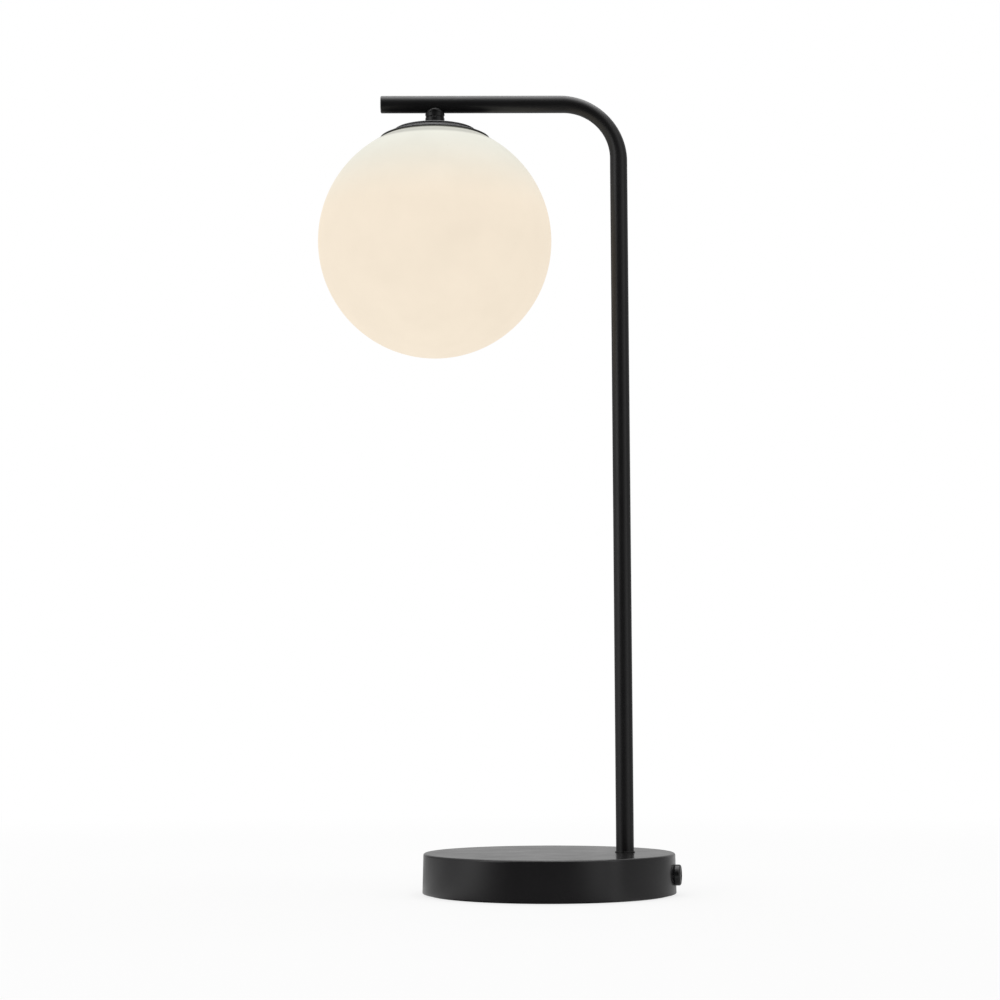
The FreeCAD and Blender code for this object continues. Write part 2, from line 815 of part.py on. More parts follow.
def make_holder_core():
    core = bar(core_radius, core_top - core_bottom, neck_middle + UP * core_bottom)
    socket_top = core_top - core_web
    socket = bar(shell_outer + fit_gap, socket_top - core_bottom, neck_middle + UP * core_bottom)
    stem_hole = bar(contact_stem + fit_gap, core_web, neck_middle + UP * socket_top)
    slot = box(V(neck_x - half_strip - fit_gap, shell_inner - fit_gap, shell_top),
               V(neck_x + half_strip + fit_gap, shell_outer + fit_gap, core_top))
    return holes(core, [socket, stem_hole, slot])


def make_holder_screw_shell():
    place = neck_middle + UP * shell_bottom
    return ring(shell_outer, shell_inner, shell_top - shell_bottom, place)


def make_holder_contact():
    leaf_bottom = bulb_top + contact_gap
    leaf = bar(contact_leaf_radius, contact_leaf, neck_middle + UP * leaf_bottom)
    stem = bar(contact_stem, strip_top - leaf_bottom, neck_middle + UP * leaf_bottom)
    reach = holder_terminal_offset + holder_terminal_size / 2
    strip = box(V(neck_x - half_strip, -reach, core_top), V(neck_x + half_strip, 0, strip_top))
    return leaf.fuse(stem).fuse(strip)


def make_holder_terminals():
    half = holder_terminal_size / 2
    terminals = []
    for side in (-1, 1):
        y = side * holder_terminal_offset
        block = box(V(neck_x - half, y - half, strip_top), V(neck_x + half, y + half, terminal_top))
        if side > 0:
            foot = box(V(neck_x - half, y - half, core_top), V(neck_x + half, y + half, strip_top))
            leg = box(V(neck_x - half_strip, shell_inner, shell_top),
                      V(neck_x + half_strip, shell_outer, core_top))
            block = block.fuse(foot).fuse(leg)
        lead_hole = bar(lead_radius + fit_gap, lead_holder_grip, V(neck_x, y, terminal_top), DOWN)
        middle = V(neck_x, y, strip_top + half)
        screw_hole = bar(holder_screw_radius + fit_gap, half, middle, V(0, side, 0))
        terminals.append(holes(block, [lead_hole, screw_hole]))
    return Part.makeCompound(terminals)


def make_holder_terminal_screws():
    half = holder_terminal_size / 2
    screws = []
    for side in (-1, 1):
        out = V(0, side, 0)
        lead_side = V(neck_x, side * (holder_terminal_offset + lead_radius + fit_gap), strip_top + half)
        face = V(neck_x, side * (holder_terminal_offset + half), strip_top + half)
        shank = bar(holder_screw_radius, half - lead_radius - fit_gap, lead_side, out)
        screws.append(shank.fuse(bar(holder_screw_head, holder_screw_head_depth, face, out)))
    return Part.makeCompound(screws)


# ---------------------------------------------------------------- leads through post, arm and neck
def make_main_lead(side, pole_y):
    y = side * lead_offset
    out_x = block_face + lead_run_out
    in_x = post_offset - lead_run_in
    fan_top = holder_thread_bottom - fan_drop
    terminal_y = side * holder_terminal_offset
    return swept(lead_radius, [
        (V(block_face - pole_sleeve_inset - lead_grip, pole_y, lead_height), 0),
        (V(out_x, pole_y, lead_height), lead_spread_bend),
        (V(in_x, y, lead_height), lead_spread_bend),
        (V(post_offset, y, lead_height), lead_base_bend),
        (V(post_offset, y, arm_height), bend_radius),
        (V(neck_x, y, arm_height), lead_neck_bend),
        (V(neck_x, y, fan_top), lead_holder_bend),
        (V(neck_x, terminal_y, terminal_top + fan_rise), lead_holder_bend),
        (V(neck_x, terminal_y, terminal_top - lead_holder_grip), 0),
    ])


pieces = {
    "base_cover": make_base_cover(),
    "cover_studs": make_cover_studs(),
    "stud_nuts": make_stud_nuts(),
    "counterweight": make_counterweight(),
    "bottom_plate": make_bottom_plate(),
    "plate_screws": make_plate_screws(),
    "foot_pad": make_foot_pad(),
    "cord_bushing": make_cord_bushing(),
    "bushing_nut": make_bushing_nut(),
    "terminal_block": make_terminal_block(),
    "terminal_sleeves": make_terminal_sleeves(),
    "terminal_screws": make_terminal_screws(),
    "block_screws": make_block_screws(),
    "earth_tag": make_earth_tag(),
    "earth_screw": make_earth_screw(),
    "earth_lead": make_earth_lead(),
    "post_foot_ring": make_post_foot_ring(),
    "post_nipple": make_post_nipple(),
    "post_washer": make_post_washer(),
    "post_locknut": make_post_locknut(),
    "nipple_bush": make_nipple_bush(),
    "lamp_tube": make_lamp_tube(),
    "arm_end_plug": make_arm_end_plug(),
    "neck_collar": make_neck_collar(),
    "neck_sleeve": make_neck_sleeve(),
    "neck_nipple": make_neck_nipple(),
    "globe_cap": make_globe_cap(),
    "cap_locknut": make_cap_locknut(),
    "globe_clip": make_globe_clip(),
    "glass_seal": make_glass_seal(),
    "glass_globe": make_glass_globe(),
    "bulb_glass": make_bulb_glass(),
    "bulb_housing": make_bulb_housing(),
    "bulb_screw_cap": make_bulb_screw_cap(),
    "bulb_insulator": make_bulb_insulator(),
    "bulb_contact": make_bulb_contact(),
    "holder_cap": make_holder_cap(),
    "holder_skirt": make_holder_skirt(),
    "holder_core": make_holder_core(),
    "holder_screw_shell": make_holder_screw_shell(),
    "holder_contact": make_holder_contact(),
    "holder_terminals": make_holder_terminals(),
    "holder_terminal_screws": make_holder_terminal_screws(),
    "live_lead": make_main_lead(-1, pole_places[0]),
    "neutral_lead": make_main_lead(1, pole_places[1]),
}

os.makedirs("parts", exist_ok=True)
for name, shape in pieces.items():
    shape.exportStep("parts/" + name + ".step")
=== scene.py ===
"""Glass globe table lamp: the finish of every surface, and the plain studio that it is shown in.

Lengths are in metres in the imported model's frame: +Z is up, the arm points to -X, and the origin
is the middle of the base on the surface that the lamp stands on. Places come from the rooms that
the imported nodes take, and details that no node shows are fields of the sub-assembly's class.
"""

import json
import logging
import math
from dataclasses import dataclass, replace
from enum import Enum
from functools import reduce
from typing import Iterable

import bmesh
import bpy
from mathutils import Matrix, Vector


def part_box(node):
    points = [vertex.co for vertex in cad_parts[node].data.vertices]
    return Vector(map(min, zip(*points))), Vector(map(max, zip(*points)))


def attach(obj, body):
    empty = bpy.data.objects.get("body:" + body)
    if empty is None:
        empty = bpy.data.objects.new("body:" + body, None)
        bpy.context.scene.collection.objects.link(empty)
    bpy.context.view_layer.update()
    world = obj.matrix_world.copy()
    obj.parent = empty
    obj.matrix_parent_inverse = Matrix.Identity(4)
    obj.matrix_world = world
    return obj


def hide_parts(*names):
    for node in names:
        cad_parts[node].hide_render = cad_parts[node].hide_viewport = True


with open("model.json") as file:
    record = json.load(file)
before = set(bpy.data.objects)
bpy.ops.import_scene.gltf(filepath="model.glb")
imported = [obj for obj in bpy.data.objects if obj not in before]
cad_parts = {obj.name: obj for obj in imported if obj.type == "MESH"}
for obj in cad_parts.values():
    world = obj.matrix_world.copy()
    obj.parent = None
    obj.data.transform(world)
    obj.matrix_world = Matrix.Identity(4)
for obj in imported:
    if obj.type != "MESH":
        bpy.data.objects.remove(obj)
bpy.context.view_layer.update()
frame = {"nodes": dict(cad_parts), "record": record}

LOG = logging.getLogger("globe_lamp")
MM = 0.001
UP = Vector((0.0, 0.0, 1.0))
LEFT = Vector((-1.0, 0.0, 0.0))
FULL_TURN = 2.0 * math.pi
FINE_SIDES = 160
PLAIN_SIDES = 96
SMALL_SIDES = 48
SHARP_ANGLE = math.radians(32.0)
MERGE_DISTANCE = 1e-7

Rgb = tuple[float, float, float]
Outline = Iterable[tuple[float, float]]
Socket = bpy.types.NodeSocket
Inputs = dict[str | int, object]

WHITE = (1.0, 1.0, 1.0)
ORIGIN = (0.0, 0.0, 0.0)
ACROSS_Z = (1.0, 1.0, 0.0)
ACROSS_Y = (1.0, 0.0, 1.0)


class Slot(Enum):
    """The record's material slots."""

    BLACK_PAINT = "black_paint"
    CAST_WEIGHT = "cast_weight"
    ZINC_STEEL = "zinc_steel"
    SPRING_STEEL = "spring_steel"
    BRASS = "brass"
    NICKEL = "nickel"
    BLACK_PLASTIC = "black_plastic"
    WHITE_PLASTIC = "white_plastic"
    FOOT_FELT = "foot_felt"
    SEAL_RUBBER = "seal_rubber"
    OPAL_GLASS = "opal_glass"
    FROSTED_GLASS = "frosted_glass"
    DARK_GLASS = "dark_glass"
    HOLDER_CERAMIC = "holder_ceramic"
    LIVE_COVER = "live_cover"
    NEUTRAL_COVER = "neutral_cover"
    EARTH_COVER = "earth_cover"


class Ease(Enum):
    """How a mapped value goes from one end of its range to the other."""

    STRAIGHT = "LINEAR"
    SOFT = "SMOOTHSTEP"
    SOFTER = "SMOOTHERSTEP"


# ------------------------------------------------------------------ wiring of node trees
class Wiring:
    """Places nodes in a node tree and wires them."""

    ROW_LENGTH = 8
    NODE_ROOM = (190.0, -260.0)
    COLOUR_MIX_INPUTS = (0, 6, 7)
    COLOUR_MIX_RESULT = 2

    def __init__(self, tree: bpy.types.NodeTree) -> None:
        """Takes the shader or geometry node tree that the nodes go into."""
        self.tree = tree
        self.placed = 0

    def node(self, kind: str, inputs: Inputs | None = None, **settings: object) -> bpy.types.Node:
        """Adds a node.

        Args:
            kind: The node's type.
            inputs: Values or sockets by the input's name or number.
            settings: The node's own properties.

        Returns:
            The new node.
        """
        made = self.tree.nodes.new(kind)
        row, column = divmod(self.placed, self.ROW_LENGTH)
        made.location = (self.NODE_ROOM[0] * column, self.NODE_ROOM[1] * row)
        self.placed += 1
        for name, value in settings.items():
            setattr(made, name, value)
        for name, value in (inputs or {}).items():
            self.feed(made.inputs[name], value)
        return made

    def feed(self, socket: Socket, value: object) -> None:
        """Gives an input its value, or wires another node's output to it.

        Args:
            socket: The input.
            value: A number, a vector, a colour of three parts, a material or an output socket.
        """
        if isinstance(value, Socket):
            self.tree.links.new(value, socket)
        else:
            socket.default_value = (*value, 1.0) if socket.type == "RGBA" else value

    def out(self, kind: str, output: str | int, inputs: Inputs | None = None, **settings: object) -> Socket:
        """One output of a new node."""
        return self.node(kind, inputs, **settings).outputs[output]

    def math(self, operation: str, *values: object) -> Socket:
        """The result of a Math node on the values."""
        return self.out("ShaderNodeMath", 0, dict(enumerate(values)), operation=operation)

    def product(self, *values: object) -> Socket:
        """The product of the values, taken from the left."""
        return reduce(lambda first, second: self.math("MULTIPLY", first, second), values)

    def vector(self, operation: str, *values: object) -> Socket:
        """The result of a Vector Math node, a number for LENGTH and DOT_PRODUCT."""
        output = "Value" if operation in ("LENGTH", "DOT_PRODUCT") else "Vector"
        return self.out("ShaderNodeVectorMath", output, dict(enumerate(values)), operation=operation)

    def scaled(self, vector: Socket, factor: object) -> Socket:
        """A vector or a colour times a factor."""
        inputs = {"Vector": vector, "Scale": factor}
        return self.out("ShaderNodeVectorMath", "Vector", inputs, operation="SCALE")

    def part(self, vector: Socket, axis: str) -> Socket:
        """One part of a vector."""
        return self.out("ShaderNodeSeparateXYZ", axis, {"Vector": vector})

    def noise(self, place: Socket, scale: object, detail: float = 2.0, roughness: float = 0.5) -> Socket:
        """A noise from 0 to 1, with finer layers."""
        inputs = {"Vector": place, "Scale": scale, "Detail": detail, "Roughness": roughness}
        return self.out("ShaderNodeTexNoise", "Fac", inputs)

    def mapped(
        self, value: Socket, low: object, high: object,
        first: float = 0.0, last: float = 1.0, ease: Ease = Ease.STRAIGHT,
    ) -> Socket:
        """A value mapped from the range low to high onto first to last, and held at both ends."""
        inputs = {"Value": value, "From Min": low, "From Max": high, "To Min": first, "To Max": last}
        return self.out("ShaderNodeMapRange", "Result", inputs, interpolation_type=ease.value)

    def mixed(self, share: object, first: object, second: object, blend: str = "MIX") -> Socket:
        """The first colour, going over into the second as the share goes from 0 to 1."""
        inputs = dict(zip(self.COLOUR_MIX_INPUTS, (share, first, second)))
        return self.out("ShaderNodeMix", self.COLOUR_MIX_RESULT, inputs, data_type="RGBA", blend_type=blend)

    def either(self, share: Socket, first: Socket, second: Socket) -> Socket:
        """The first shader where the share is 0, and the second where it is 1."""
        return self.out("ShaderNodeMixShader", "Shader", {0: share, 1: first, 2: second})


# ------------------------------------------------------------------ effects that finishes share
class Effect(Wiring):
    """A shader group that finishes share. Each kind names its inputs and wires its own inside."""

    NAME: str
    INPUTS: dict[str, object]
    TUPLE_SOCKETS = {3: "NodeSocketVector", 4: "NodeSocketColor"}

    def __init__(self) -> None:
        """Makes the group with its inputs and wires it."""
        super().__init__(bpy.data.node_groups.new(self.NAME, "ShaderNodeTree"))
        for label, value in self.INPUTS.items():
            kind = self.TUPLE_SOCKETS[len(value)] if isinstance(value, tuple) else "NodeSocketFloat"
            socket = self.tree.interface.new_socket(label, in_out="INPUT", socket_type=kind)
            socket.default_value = value
        self.entry = self.node("NodeGroupInput").outputs
        self.wire()

    def wire(self) -> None:
        """Wires the group's inside, up to leave."""
        raise NotImplementedError

    def grains(self, size: Socket, detail: float, roughness: float = 0.5) -> Socket:
        """A noise over the place, with grains of a real size."""
        return self.noise(self.entry["Place"], self.math("DIVIDE", 1.0, size), detail, roughness)

    def leave(self, **values: Socket) -> None:
        """Puts values out of the group.

        Args:
            values: Each output's value by the output's name.
        """
        for label, value in values.items():
            kind = "NodeSocketColor" if value.type == "RGBA" else "NodeSocketFloat"
            self.tree.interface.new_socket(label, in_out="OUTPUT", socket_type=kind)
        self.node("NodeGroupOutput", values)


NOISE_LOW = 0.3
NOISE_HIGH = 0.7


class FineGrain(Effect):
    """Fine grain over a softer orange peel, with broad patches for the roughness."""

    NAME = "fine_grain"
    INPUTS = {"Place": ORIGIN, "Grain Size": 0.4 * MM, "Peel Size": 3.0 * MM, "Peel Share": 0.5}
    CRISPNESS = 0.55
    PATCH_OVER_PEEL = 12.0

    def wire(self) -> None:
        """Mixes the grain with the peel, and puts the patches out beside them."""
        fine = self.grains(self.entry["Grain Size"], 2.0, self.CRISPNESS)
        peel = self.grains(self.entry["Peel Size"], 1.0, self.CRISPNESS)
        patch_size = self.product(self.entry["Peel Size"], self.PATCH_OVER_PEEL)
        inputs = {"Factor": self.entry["Peel Share"], "A": fine, "B": peel}
        self.leave(Height=self.out("ShaderNodeMix", "Result", inputs),
                   Patches=self.grains(patch_size, 3.0, self.CRISPNESS))


class ToneDrift(Effect):
    """A colour that drifts slowly between two tones."""

    NAME = "tone_drift"
    MIDDLE_GREY = (0.5, 0.5, 0.5, 1.0)
    INPUTS = {"Place": ORIGIN, "Size": 30.0 * MM, "First": MIDDLE_GREY, "Second": MIDDLE_GREY}

    def wire(self) -> None:
        """Goes from the first tone to the second with a noise."""
        share = self.mapped(self.grains(self.entry["Size"], 3.0), NOISE_LOW, NOISE_HIGH)
        self.leave(Color=self.mixed(share, self.entry["First"], self.entry["Second"]))


class SettledDust(Effect):
    """Fine dust that lies on what faces up."""

    NAME = "settled_dust"
    INPUTS = {"Place": ORIGIN, "Amount": 0.2, "Speck Size": 1.2 * MM}
    LEVEL_FROM = 0.55
    SPARSE = (0.48, 0.75)

    def wire(self) -> None:
        """Lays sparse specks on what is nearly level."""
        upward = self.part(self.out("ShaderNodeNewGeometry", "Normal"), "Z")
        facing = self.mapped(upward, self.LEVEL_FROM, 1.0)
        specks = self.mapped(self.grains(self.entry["Speck Size"], 2.0), *self.SPARSE)
        self.leave(Mask=self.product(facing, specks, self.entry["Amount"]))


class RubbedEdges(Effect):
    """Edges that hands and tools have rubbed."""

    NAME = "rubbed_edges"
    INPUTS = {"Amount": 0.5}
    WORN = (0.52, 0.6)

    def wire(self) -> None:
        """Picks out the edges that stand proud."""
        worn = self.mapped(self.out("ShaderNodeNewGeometry", "Pointiness"), *self.WORN)
        self.leave(Mask=self.product(worn, self.entry["Amount"]))


class TurningMarks(Effect):
    """Rings that a lathe leaves round an upright axis."""

    NAME = "turning_marks"
    INPUTS = {"Place": ORIGIN, "Axis": ORIGIN, "Pitch": 0.3 * MM}
    STREAKS_PER_RING = 0.08

    def wire(self) -> None:
        """Lays a fine and a broad noise over the distance from the axis and the height."""
        offset = self.vector("SUBTRACT", self.entry["Place"], self.entry["Axis"])
        radius = self.vector("LENGTH", self.vector("MULTIPLY", offset, ACROSS_Z))
        section = self.out("ShaderNodeCombineXYZ", "Vector", {"X": radius, "Y": self.part(offset, "Z")})
        scale = self.math("DIVIDE", 1.0, self.entry["Pitch"])
        self.leave(Height=self.noise(section, scale, 1.0),
                   Streaks=self.noise(section, self.product(scale, self.STREAKS_PER_RING), 2.0))


class GlassSeeds(Effect):
    """Rare tiny inclusions, as blown glass has."""

    NAME = "glass_seeds"
    INPUTS = {"Place": ORIGIN, "Spacing": 12.0 * MM, "Seed Radius": 0.35 * MM, "Share": 0.3}

    def wire(self) -> None:
        """Puts a soft dot in the middle of some cells."""
        scale = self.math("DIVIDE", 1.0, self.entry["Spacing"])
        cells = self.node("ShaderNodeTexVoronoi", {"Vector": self.entry["Place"], "Scale": scale}).outputs
        reach = self.product(self.entry["Seed Radius"], scale)
        dot = self.mapped(cells["Distance"], 0.0, reach, 1.0, 0.0, Ease.SOFT)
        lot = self.out("ShaderNodeSeparateColor", "Red", {"Color": cells["Color"]})
        self.leave(Mask=self.product(dot, self.math("LESS_THAN", lot, self.entry["Share"])))


GRAIN, DRIFT, DUST = FineGrain(), ToneDrift(), SettledDust()
RUB, TURNING, SEEDS = RubbedEdges(), TurningMarks(), GlassSeeds()


# ------------------------------------------------------------------ finishes
def toned(colour: Rgb, factor: float, lift: float = 0.0) -> Rgb:
    """A colour made darker or lighter."""
    return tuple(min(1.0, part * factor + lift) for part in colour)


class Surface(Wiring):
    """A material in the making: its shader, and the point on the piece that its effects read."""

    def __init__(self, name: str, colour: Rgb) -> None:
        """Makes the material with its shader.

        Args:
            name: The material's name.
            colour: Its main colour.
        """
        self.material = bpy.data.materials.new(name)
        self.material.use_nodes = True
        super().__init__(self.material.node_tree)
        self.tree.nodes.clear()
        self.shader = self.node("ShaderNodeBsdfPrincipled", {"Base Color": colour})
        self.node("ShaderNodeOutputMaterial", {"Surface": self.shader.outputs["BSDF"]})
        self.place = self.out("ShaderNodeTexCoord", "Object")

    def effect(self, effect: Effect, inputs: Inputs | None = None) -> bpy.types.NodeOutputs:
        """The outputs of a shared effect on this piece."""
        place = {"Place": self.place} if "Place" in effect.INPUTS else {}
        return self.node("ShaderNodeGroup", {**place, **(inputs or {})}, node_tree=effect.tree).outputs

    def drifting(self, colour: Rgb, size: float, share: float) -> Socket:
        """A colour that drifts by a share, darker and lighter."""
        first, second = toned(colour, 1.0 - share), toned(colour, 1.0 + share)
        return self.effect(DRIFT, {"Size": size, "First": first, "Second": second})["Color"]

    def rubbed(self, tone: Socket, bright: Rgb, amount: float) -> Socket:
        """A tone that goes over into a bright one on rubbed edges."""
        return self.mixed(self.effect(RUB, {"Amount": amount})["Mask"], tone, bright)

    def spread(self, noise: Socket, low: float, high: float) -> Socket:
        """A noise whose low and high stretches become the two values."""
        return self.mapped(noise, NOISE_LOW, NOISE_HIGH, low, high)

    def relief(self, height: Socket, depth: float) -> None:
        """Gives the shader a relief, from a height of 0 to 1 and its real depth."""
        inputs = {"Strength": 1.0, "Distance": depth, "Height": height}
        self.give({"Normal": self.out("ShaderNodeBump", "Normal", inputs)})

    def give(self, inputs: Inputs) -> None:
        """Sets or wires inputs of the shader."""
        for name, value in inputs.items():
            self.feed(self.shader.inputs[name], value)


@dataclass(frozen=True)
class Finish:
    """What every finish shares: its name, its slot in the record, its colour and its texture."""

    name: str
    slot: Slot
    colour: Rgb
    roughness: float = 0.5
    unevenness: float = 0.06
    gloss: float = 0.4
    drift: float = 0.06
    drift_size: float = 12.0 * MM
    grain_size: float = 0.3 * MM
    peel_size: float = 2.0 * MM
    peel_share: float = 0.35
    relief: float = 0.015 * MM

    def material(self) -> bpy.types.Material:
        """This finish's material, made when it is first asked for."""
        return bpy.data.materials.get(self.name) or self.made()

    def made(self) -> bpy.types.Material:
        """Makes the material.

        Returns:
            The new material.
        """
        surface = Surface(self.name, self.colour)
        self.dress(surface)
        return surface.material

    def dress(self, surface: Surface) -> None:
        """Wires the finish. Each kind of finish has its own."""
        raise NotImplementedError

    def tone(self, surface: Surface) -> Socket:
        """The finish's colour with its drift."""
        return surface.drifting(self.colour, self.drift_size, self.drift)

    def grained(self, surface: Surface) -> None:
        """Wires the gloss, a patchy roughness and a grained relief.

        Args:
            surface: The material in the making.
        """
        grain = surface.effect(GRAIN, {
            "Grain Size": self.grain_size, "Peel Size": self.peel_size, "Peel Share": self.peel_share})
        low, high = self.roughness - self.unevenness, self.roughness + self.unevenness
        rough = surface.spread(grain["Patches"], low, high)
        surface.give({"Roughness": rough, "Specular IOR Level": self.gloss})
        surface.relief(grain["Height"], self.relief)


@dataclass(frozen=True)
class SatinCoat(Finish):
    """Baked satin powder coat on steel, with a little dust."""

    roughness: float = 0.36
    unevenness: float = 0.03
    gloss: float = 0.42
    drift: float = 0.12
    drift_size: float = 45.0 * MM
    grain_size: float = 0.35 * MM
    peel_size: float = 2.4 * MM
    peel_share: float = 0.6
    relief: float = 0.012 * MM
    dust: float = 0.12
    dust_colour: Rgb = (0.33, 0.32, 0.31)

    def dress(self, surface: Surface) -> None:
        """Wires the coat.

        Args:
            surface: The material in the making.
        """
        dust = surface.effect(DUST, {"Amount": self.dust})["Mask"]
        surface.give({"Base Color": surface.mixed(dust, self.tone(surface), self.dust_colour)})
        self.grained(surface)


@dataclass(frozen=True)
class Metal(Finish):
    """Bare or plated metal with the marks of its turning or rolling."""

    roughness: float = 0.3
    smoother: float = 0.08
    rougher: float = 0.1
    drift: float = 0.1
    drift_size: float = 9.0 * MM
    pitch: float = 0.25 * MM
    relief: float = 0.004 * MM
    axis: tuple[float, float, float] = ORIGIN
    rub: float = 0.35
    rubbed_tone: float = 1.25

    def dress(self, surface: Surface) -> None:
        """Wires the metal.

        Args:
            surface: The material in the making.
        """
        marks = surface.effect(TURNING, {"Axis": self.axis, "Pitch": self.pitch})
        bright = toned(self.colour, self.rubbed_tone)
        low, high = self.roughness - self.smoother, self.roughness + self.rougher
        surface.give({
            "Base Color": surface.rubbed(self.tone(surface), bright, self.rub), "Metallic": 1.0,
            "Roughness": surface.spread(marks["Streaks"], low, high)})
        surface.relief(marks["Height"], self.relief)


@dataclass(frozen=True)
class Moulded(Finish):
    """Moulded plastic, rubber, ceramic or a casting: one body colour with a fine texture."""

    rub: float = 0.0
    rubbed_tone: float = 1.6
    rubbed_lift: float = 0.02

    def dress(self, surface: Surface) -> None:
        """Wires the moulding.

        Args:
            surface: The material in the making.
        """
        tone = self.tone(surface)
        if self.rub > 0.0:
            tone = surface.rubbed(tone, toned(self.colour, self.rubbed_tone, self.rubbed_lift), self.rub)
        surface.give({"Base Color": tone})
        self.grained(surface)


@dataclass(frozen=True)
class LitOpal(Finish):
    """Opal glass with the lamp lit inside it: warm where the bulb is near, cooler at the top.

    Above shade_from a soft painted shade comes in, full at shade_full, and above shade_over it stays at
    shade_over_level. In a gap of the crevice's width a painted shade takes the glass down to its gap level.
    """

    roughness: float = 0.7
    unevenness: float = 0.04
    gloss: float = 0.15
    drift: float = 0.03
    drift_size: float = 28.0 * MM
    grain_size: float = 0.25 * MM
    peel_size: float = 14.0 * MM
    peel_share: float = 0.7
    relief: float = 0.008 * MM
    warm: Rgb = (0.93, 0.80, 0.63)
    cool: Rgb = (0.87, 0.84, 0.73)
    clouded: Rgb = (0.975, 0.975, 0.972)
    glow: float = 0.6
    low: float = 0.0
    high: float = 1.0
    # Heights and levels of the soft painted shade beside the cap's brim.
    shade_from: float = 10.0
    shade_full: float = 11.0
    shade_over: float = 12.0
    shade_level: float = 0.68
    shade_over_level: float = 0.8
    # Painted shade in gaps: the gap's width, how dark it gets, the occlusion span mapped to it and the
    # samples.
    crevice: float = 5.0 * MM
    gap_shade_level: float = 0.25
    gap_shade_range: tuple[float, float] = (0.35, 0.7)
    crevice_samples: int = 8
    seed_shade: float = 0.5

    def dress(self, surface: Surface) -> None:
        """Wires the glass.

        Args:
            surface: The material in the making.
        """
        height = surface.part(surface.place, "Z")
        top = surface.mapped(height, self.low, self.high, ease=Ease.SOFT)
        inputs = {"Size": self.drift_size, "First": self.clouded, "Second": WHITE}
        clouds = surface.effect(DRIFT, inputs)["Color"]
        glow = surface.mixed(1.0, surface.mixed(top, self.warm, self.cool), clouds, "MULTIPLY")
        clear = surface.math("MULTIPLY_ADD", surface.effect(SEEDS)["Mask"], -self.seed_shade, 1.0)
        # The seeds are the glass's own; the gap factor and the brim's shade are painted shade.
        dark = surface.product(clear, self.painted_gap_shade(surface))
        shade = surface.product(self.brim_shade(surface, height), dark)
        surface.give({
            "Emission Color": surface.scaled(glow, shade), "Emission Strength": self.glow,
            "Base Color": surface.scaled(self.tone(surface), shade)})
        self.grained(surface)

    def painted_gap_shade(self, surface: Surface) -> Socket:
        """Painted shade in gaps, from how open the glass is to the room: darkest in the gap under the brim,
        none away from it.
        """
        near = surface.out(
            "ShaderNodeAmbientOcclusion", "AO", {"Distance": self.crevice}, samples=self.crevice_samples)
        return surface.mapped(near, *self.gap_shade_range, self.gap_shade_level)

    def brim_shade(self, surface: Surface, height: Socket) -> Socket:
        """The soft shade that the cap's brim lays on the glass beside it.

        Args:
            surface: The material in the making.
            height: Height on the piece.

        Returns:
            What the glass's colours are multiplied by.
        """
        below = surface.mapped(height, self.shade_from, self.shade_full, 1.0, self.shade_level, Ease.SOFTER)
        lighter = self.shade_over_level - self.shade_level
        above = surface.mapped(height, self.shade_full, self.shade_over, 0.0, lighter, Ease.SOFT)
        return surface.math("ADD", below, above)


@dataclass(frozen=True)
class Felt(Finish):
    """Dense felt: short fibres that lie every way."""

    roughness: float = 0.95
    gloss: float = 0.1
    sheen: float = 0.35
    relief: float = 0.08 * MM
    fibre_length: float = 1.6 * MM
    fibre_width: float = 0.12 * MM
    dark: float = 0.55
    light: float = 1.7

    def dress(self, surface: Surface) -> None:
        """Wires the felt.

        Args:
            surface: The material in the making.
        """
        along, across = 1.0 / self.fibre_length, 1.0 / self.fibre_width
        angle = surface.product(surface.noise(surface.place, along), 2.0 * FULL_TURN)
        turned_place = surface.out("ShaderNodeVectorRotate", "Vector", {
            "Vector": surface.place, "Angle": angle}, rotation_type="Z_AXIS")
        fibres = surface.noise(surface.vector("MULTIPLY", turned_place, (across, along, across)), 1.0, 3.0)
        dark, light = toned(self.colour, self.dark), toned(self.colour, self.light)
        surface.give({
            "Base Color": surface.mixed(fibres, dark, light), "Roughness": self.roughness,
            "Specular IOR Level": self.gloss, "Sheen Weight": self.sheen})
        surface.relief(fibres, self.relief)


@dataclass(frozen=True)
class StripedCover(Finish):
    """Wire insulation with a second colour in bands along it."""

    roughness: float = 0.45
    drift_size: float = 6.0 * MM
    relief: float = 0.01 * MM
    stripe: Rgb = (0.85, 0.68, 0.04)
    stripe_edge: tuple[float, float] = (0.45, 0.55)
    band: float = 3.2 * MM

    def dress(self, surface: Surface) -> None:
        """Wires the insulation.

        Args:
            surface: The material in the making.
        """
        waves = surface.out("ShaderNodeTexWave", "Fac", {
            "Vector": surface.place, "Scale": 1.0 / (self.band * FULL_TURN), "Distortion": 0.0},
            bands_direction="DIAGONAL")
        stepped = surface.mapped(waves, *self.stripe_edge)
        striped = surface.mixed(stepped, self.tone(surface), self.stripe)
        surface.give({"Base Color": striped, "Roughness": self.roughness})
        surface.relief(surface.effect(GRAIN, {"Grain Size": self.grain_size})["Height"], self.relief)


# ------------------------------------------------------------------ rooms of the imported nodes
@dataclass(frozen=True)
class Room:
    """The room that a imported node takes."""

    low: Vector
    high: Vector

    @classmethod
    def of(cls, node: str) -> "Room":
        """The room of one node."""
        return cls(*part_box(node))

    @property
    def middle(self) -> Vector:
        """The room's middle."""
        return (self.low + self.high) / 2

    @property
    def radius(self) -> float:
        """Half the room's width across Y, which is an upright turned node's radius."""
        return (self.high.y - self.low.y) / 2

    @property
    def height(self) -> float:
        """The room's height."""
        return self.high.z - self.low.z

    @property
    def foot(self) -> Vector:
        """The middle of the room's floor."""
        return Vector((self.middle.x, self.middle.y, self.low.z))

    @property
    def ground(self) -> Vector:
        """The point under the room where the lamp stands, in the lamp's middle plane."""
        return Vector((self.middle.x, 0.0, 0.0))


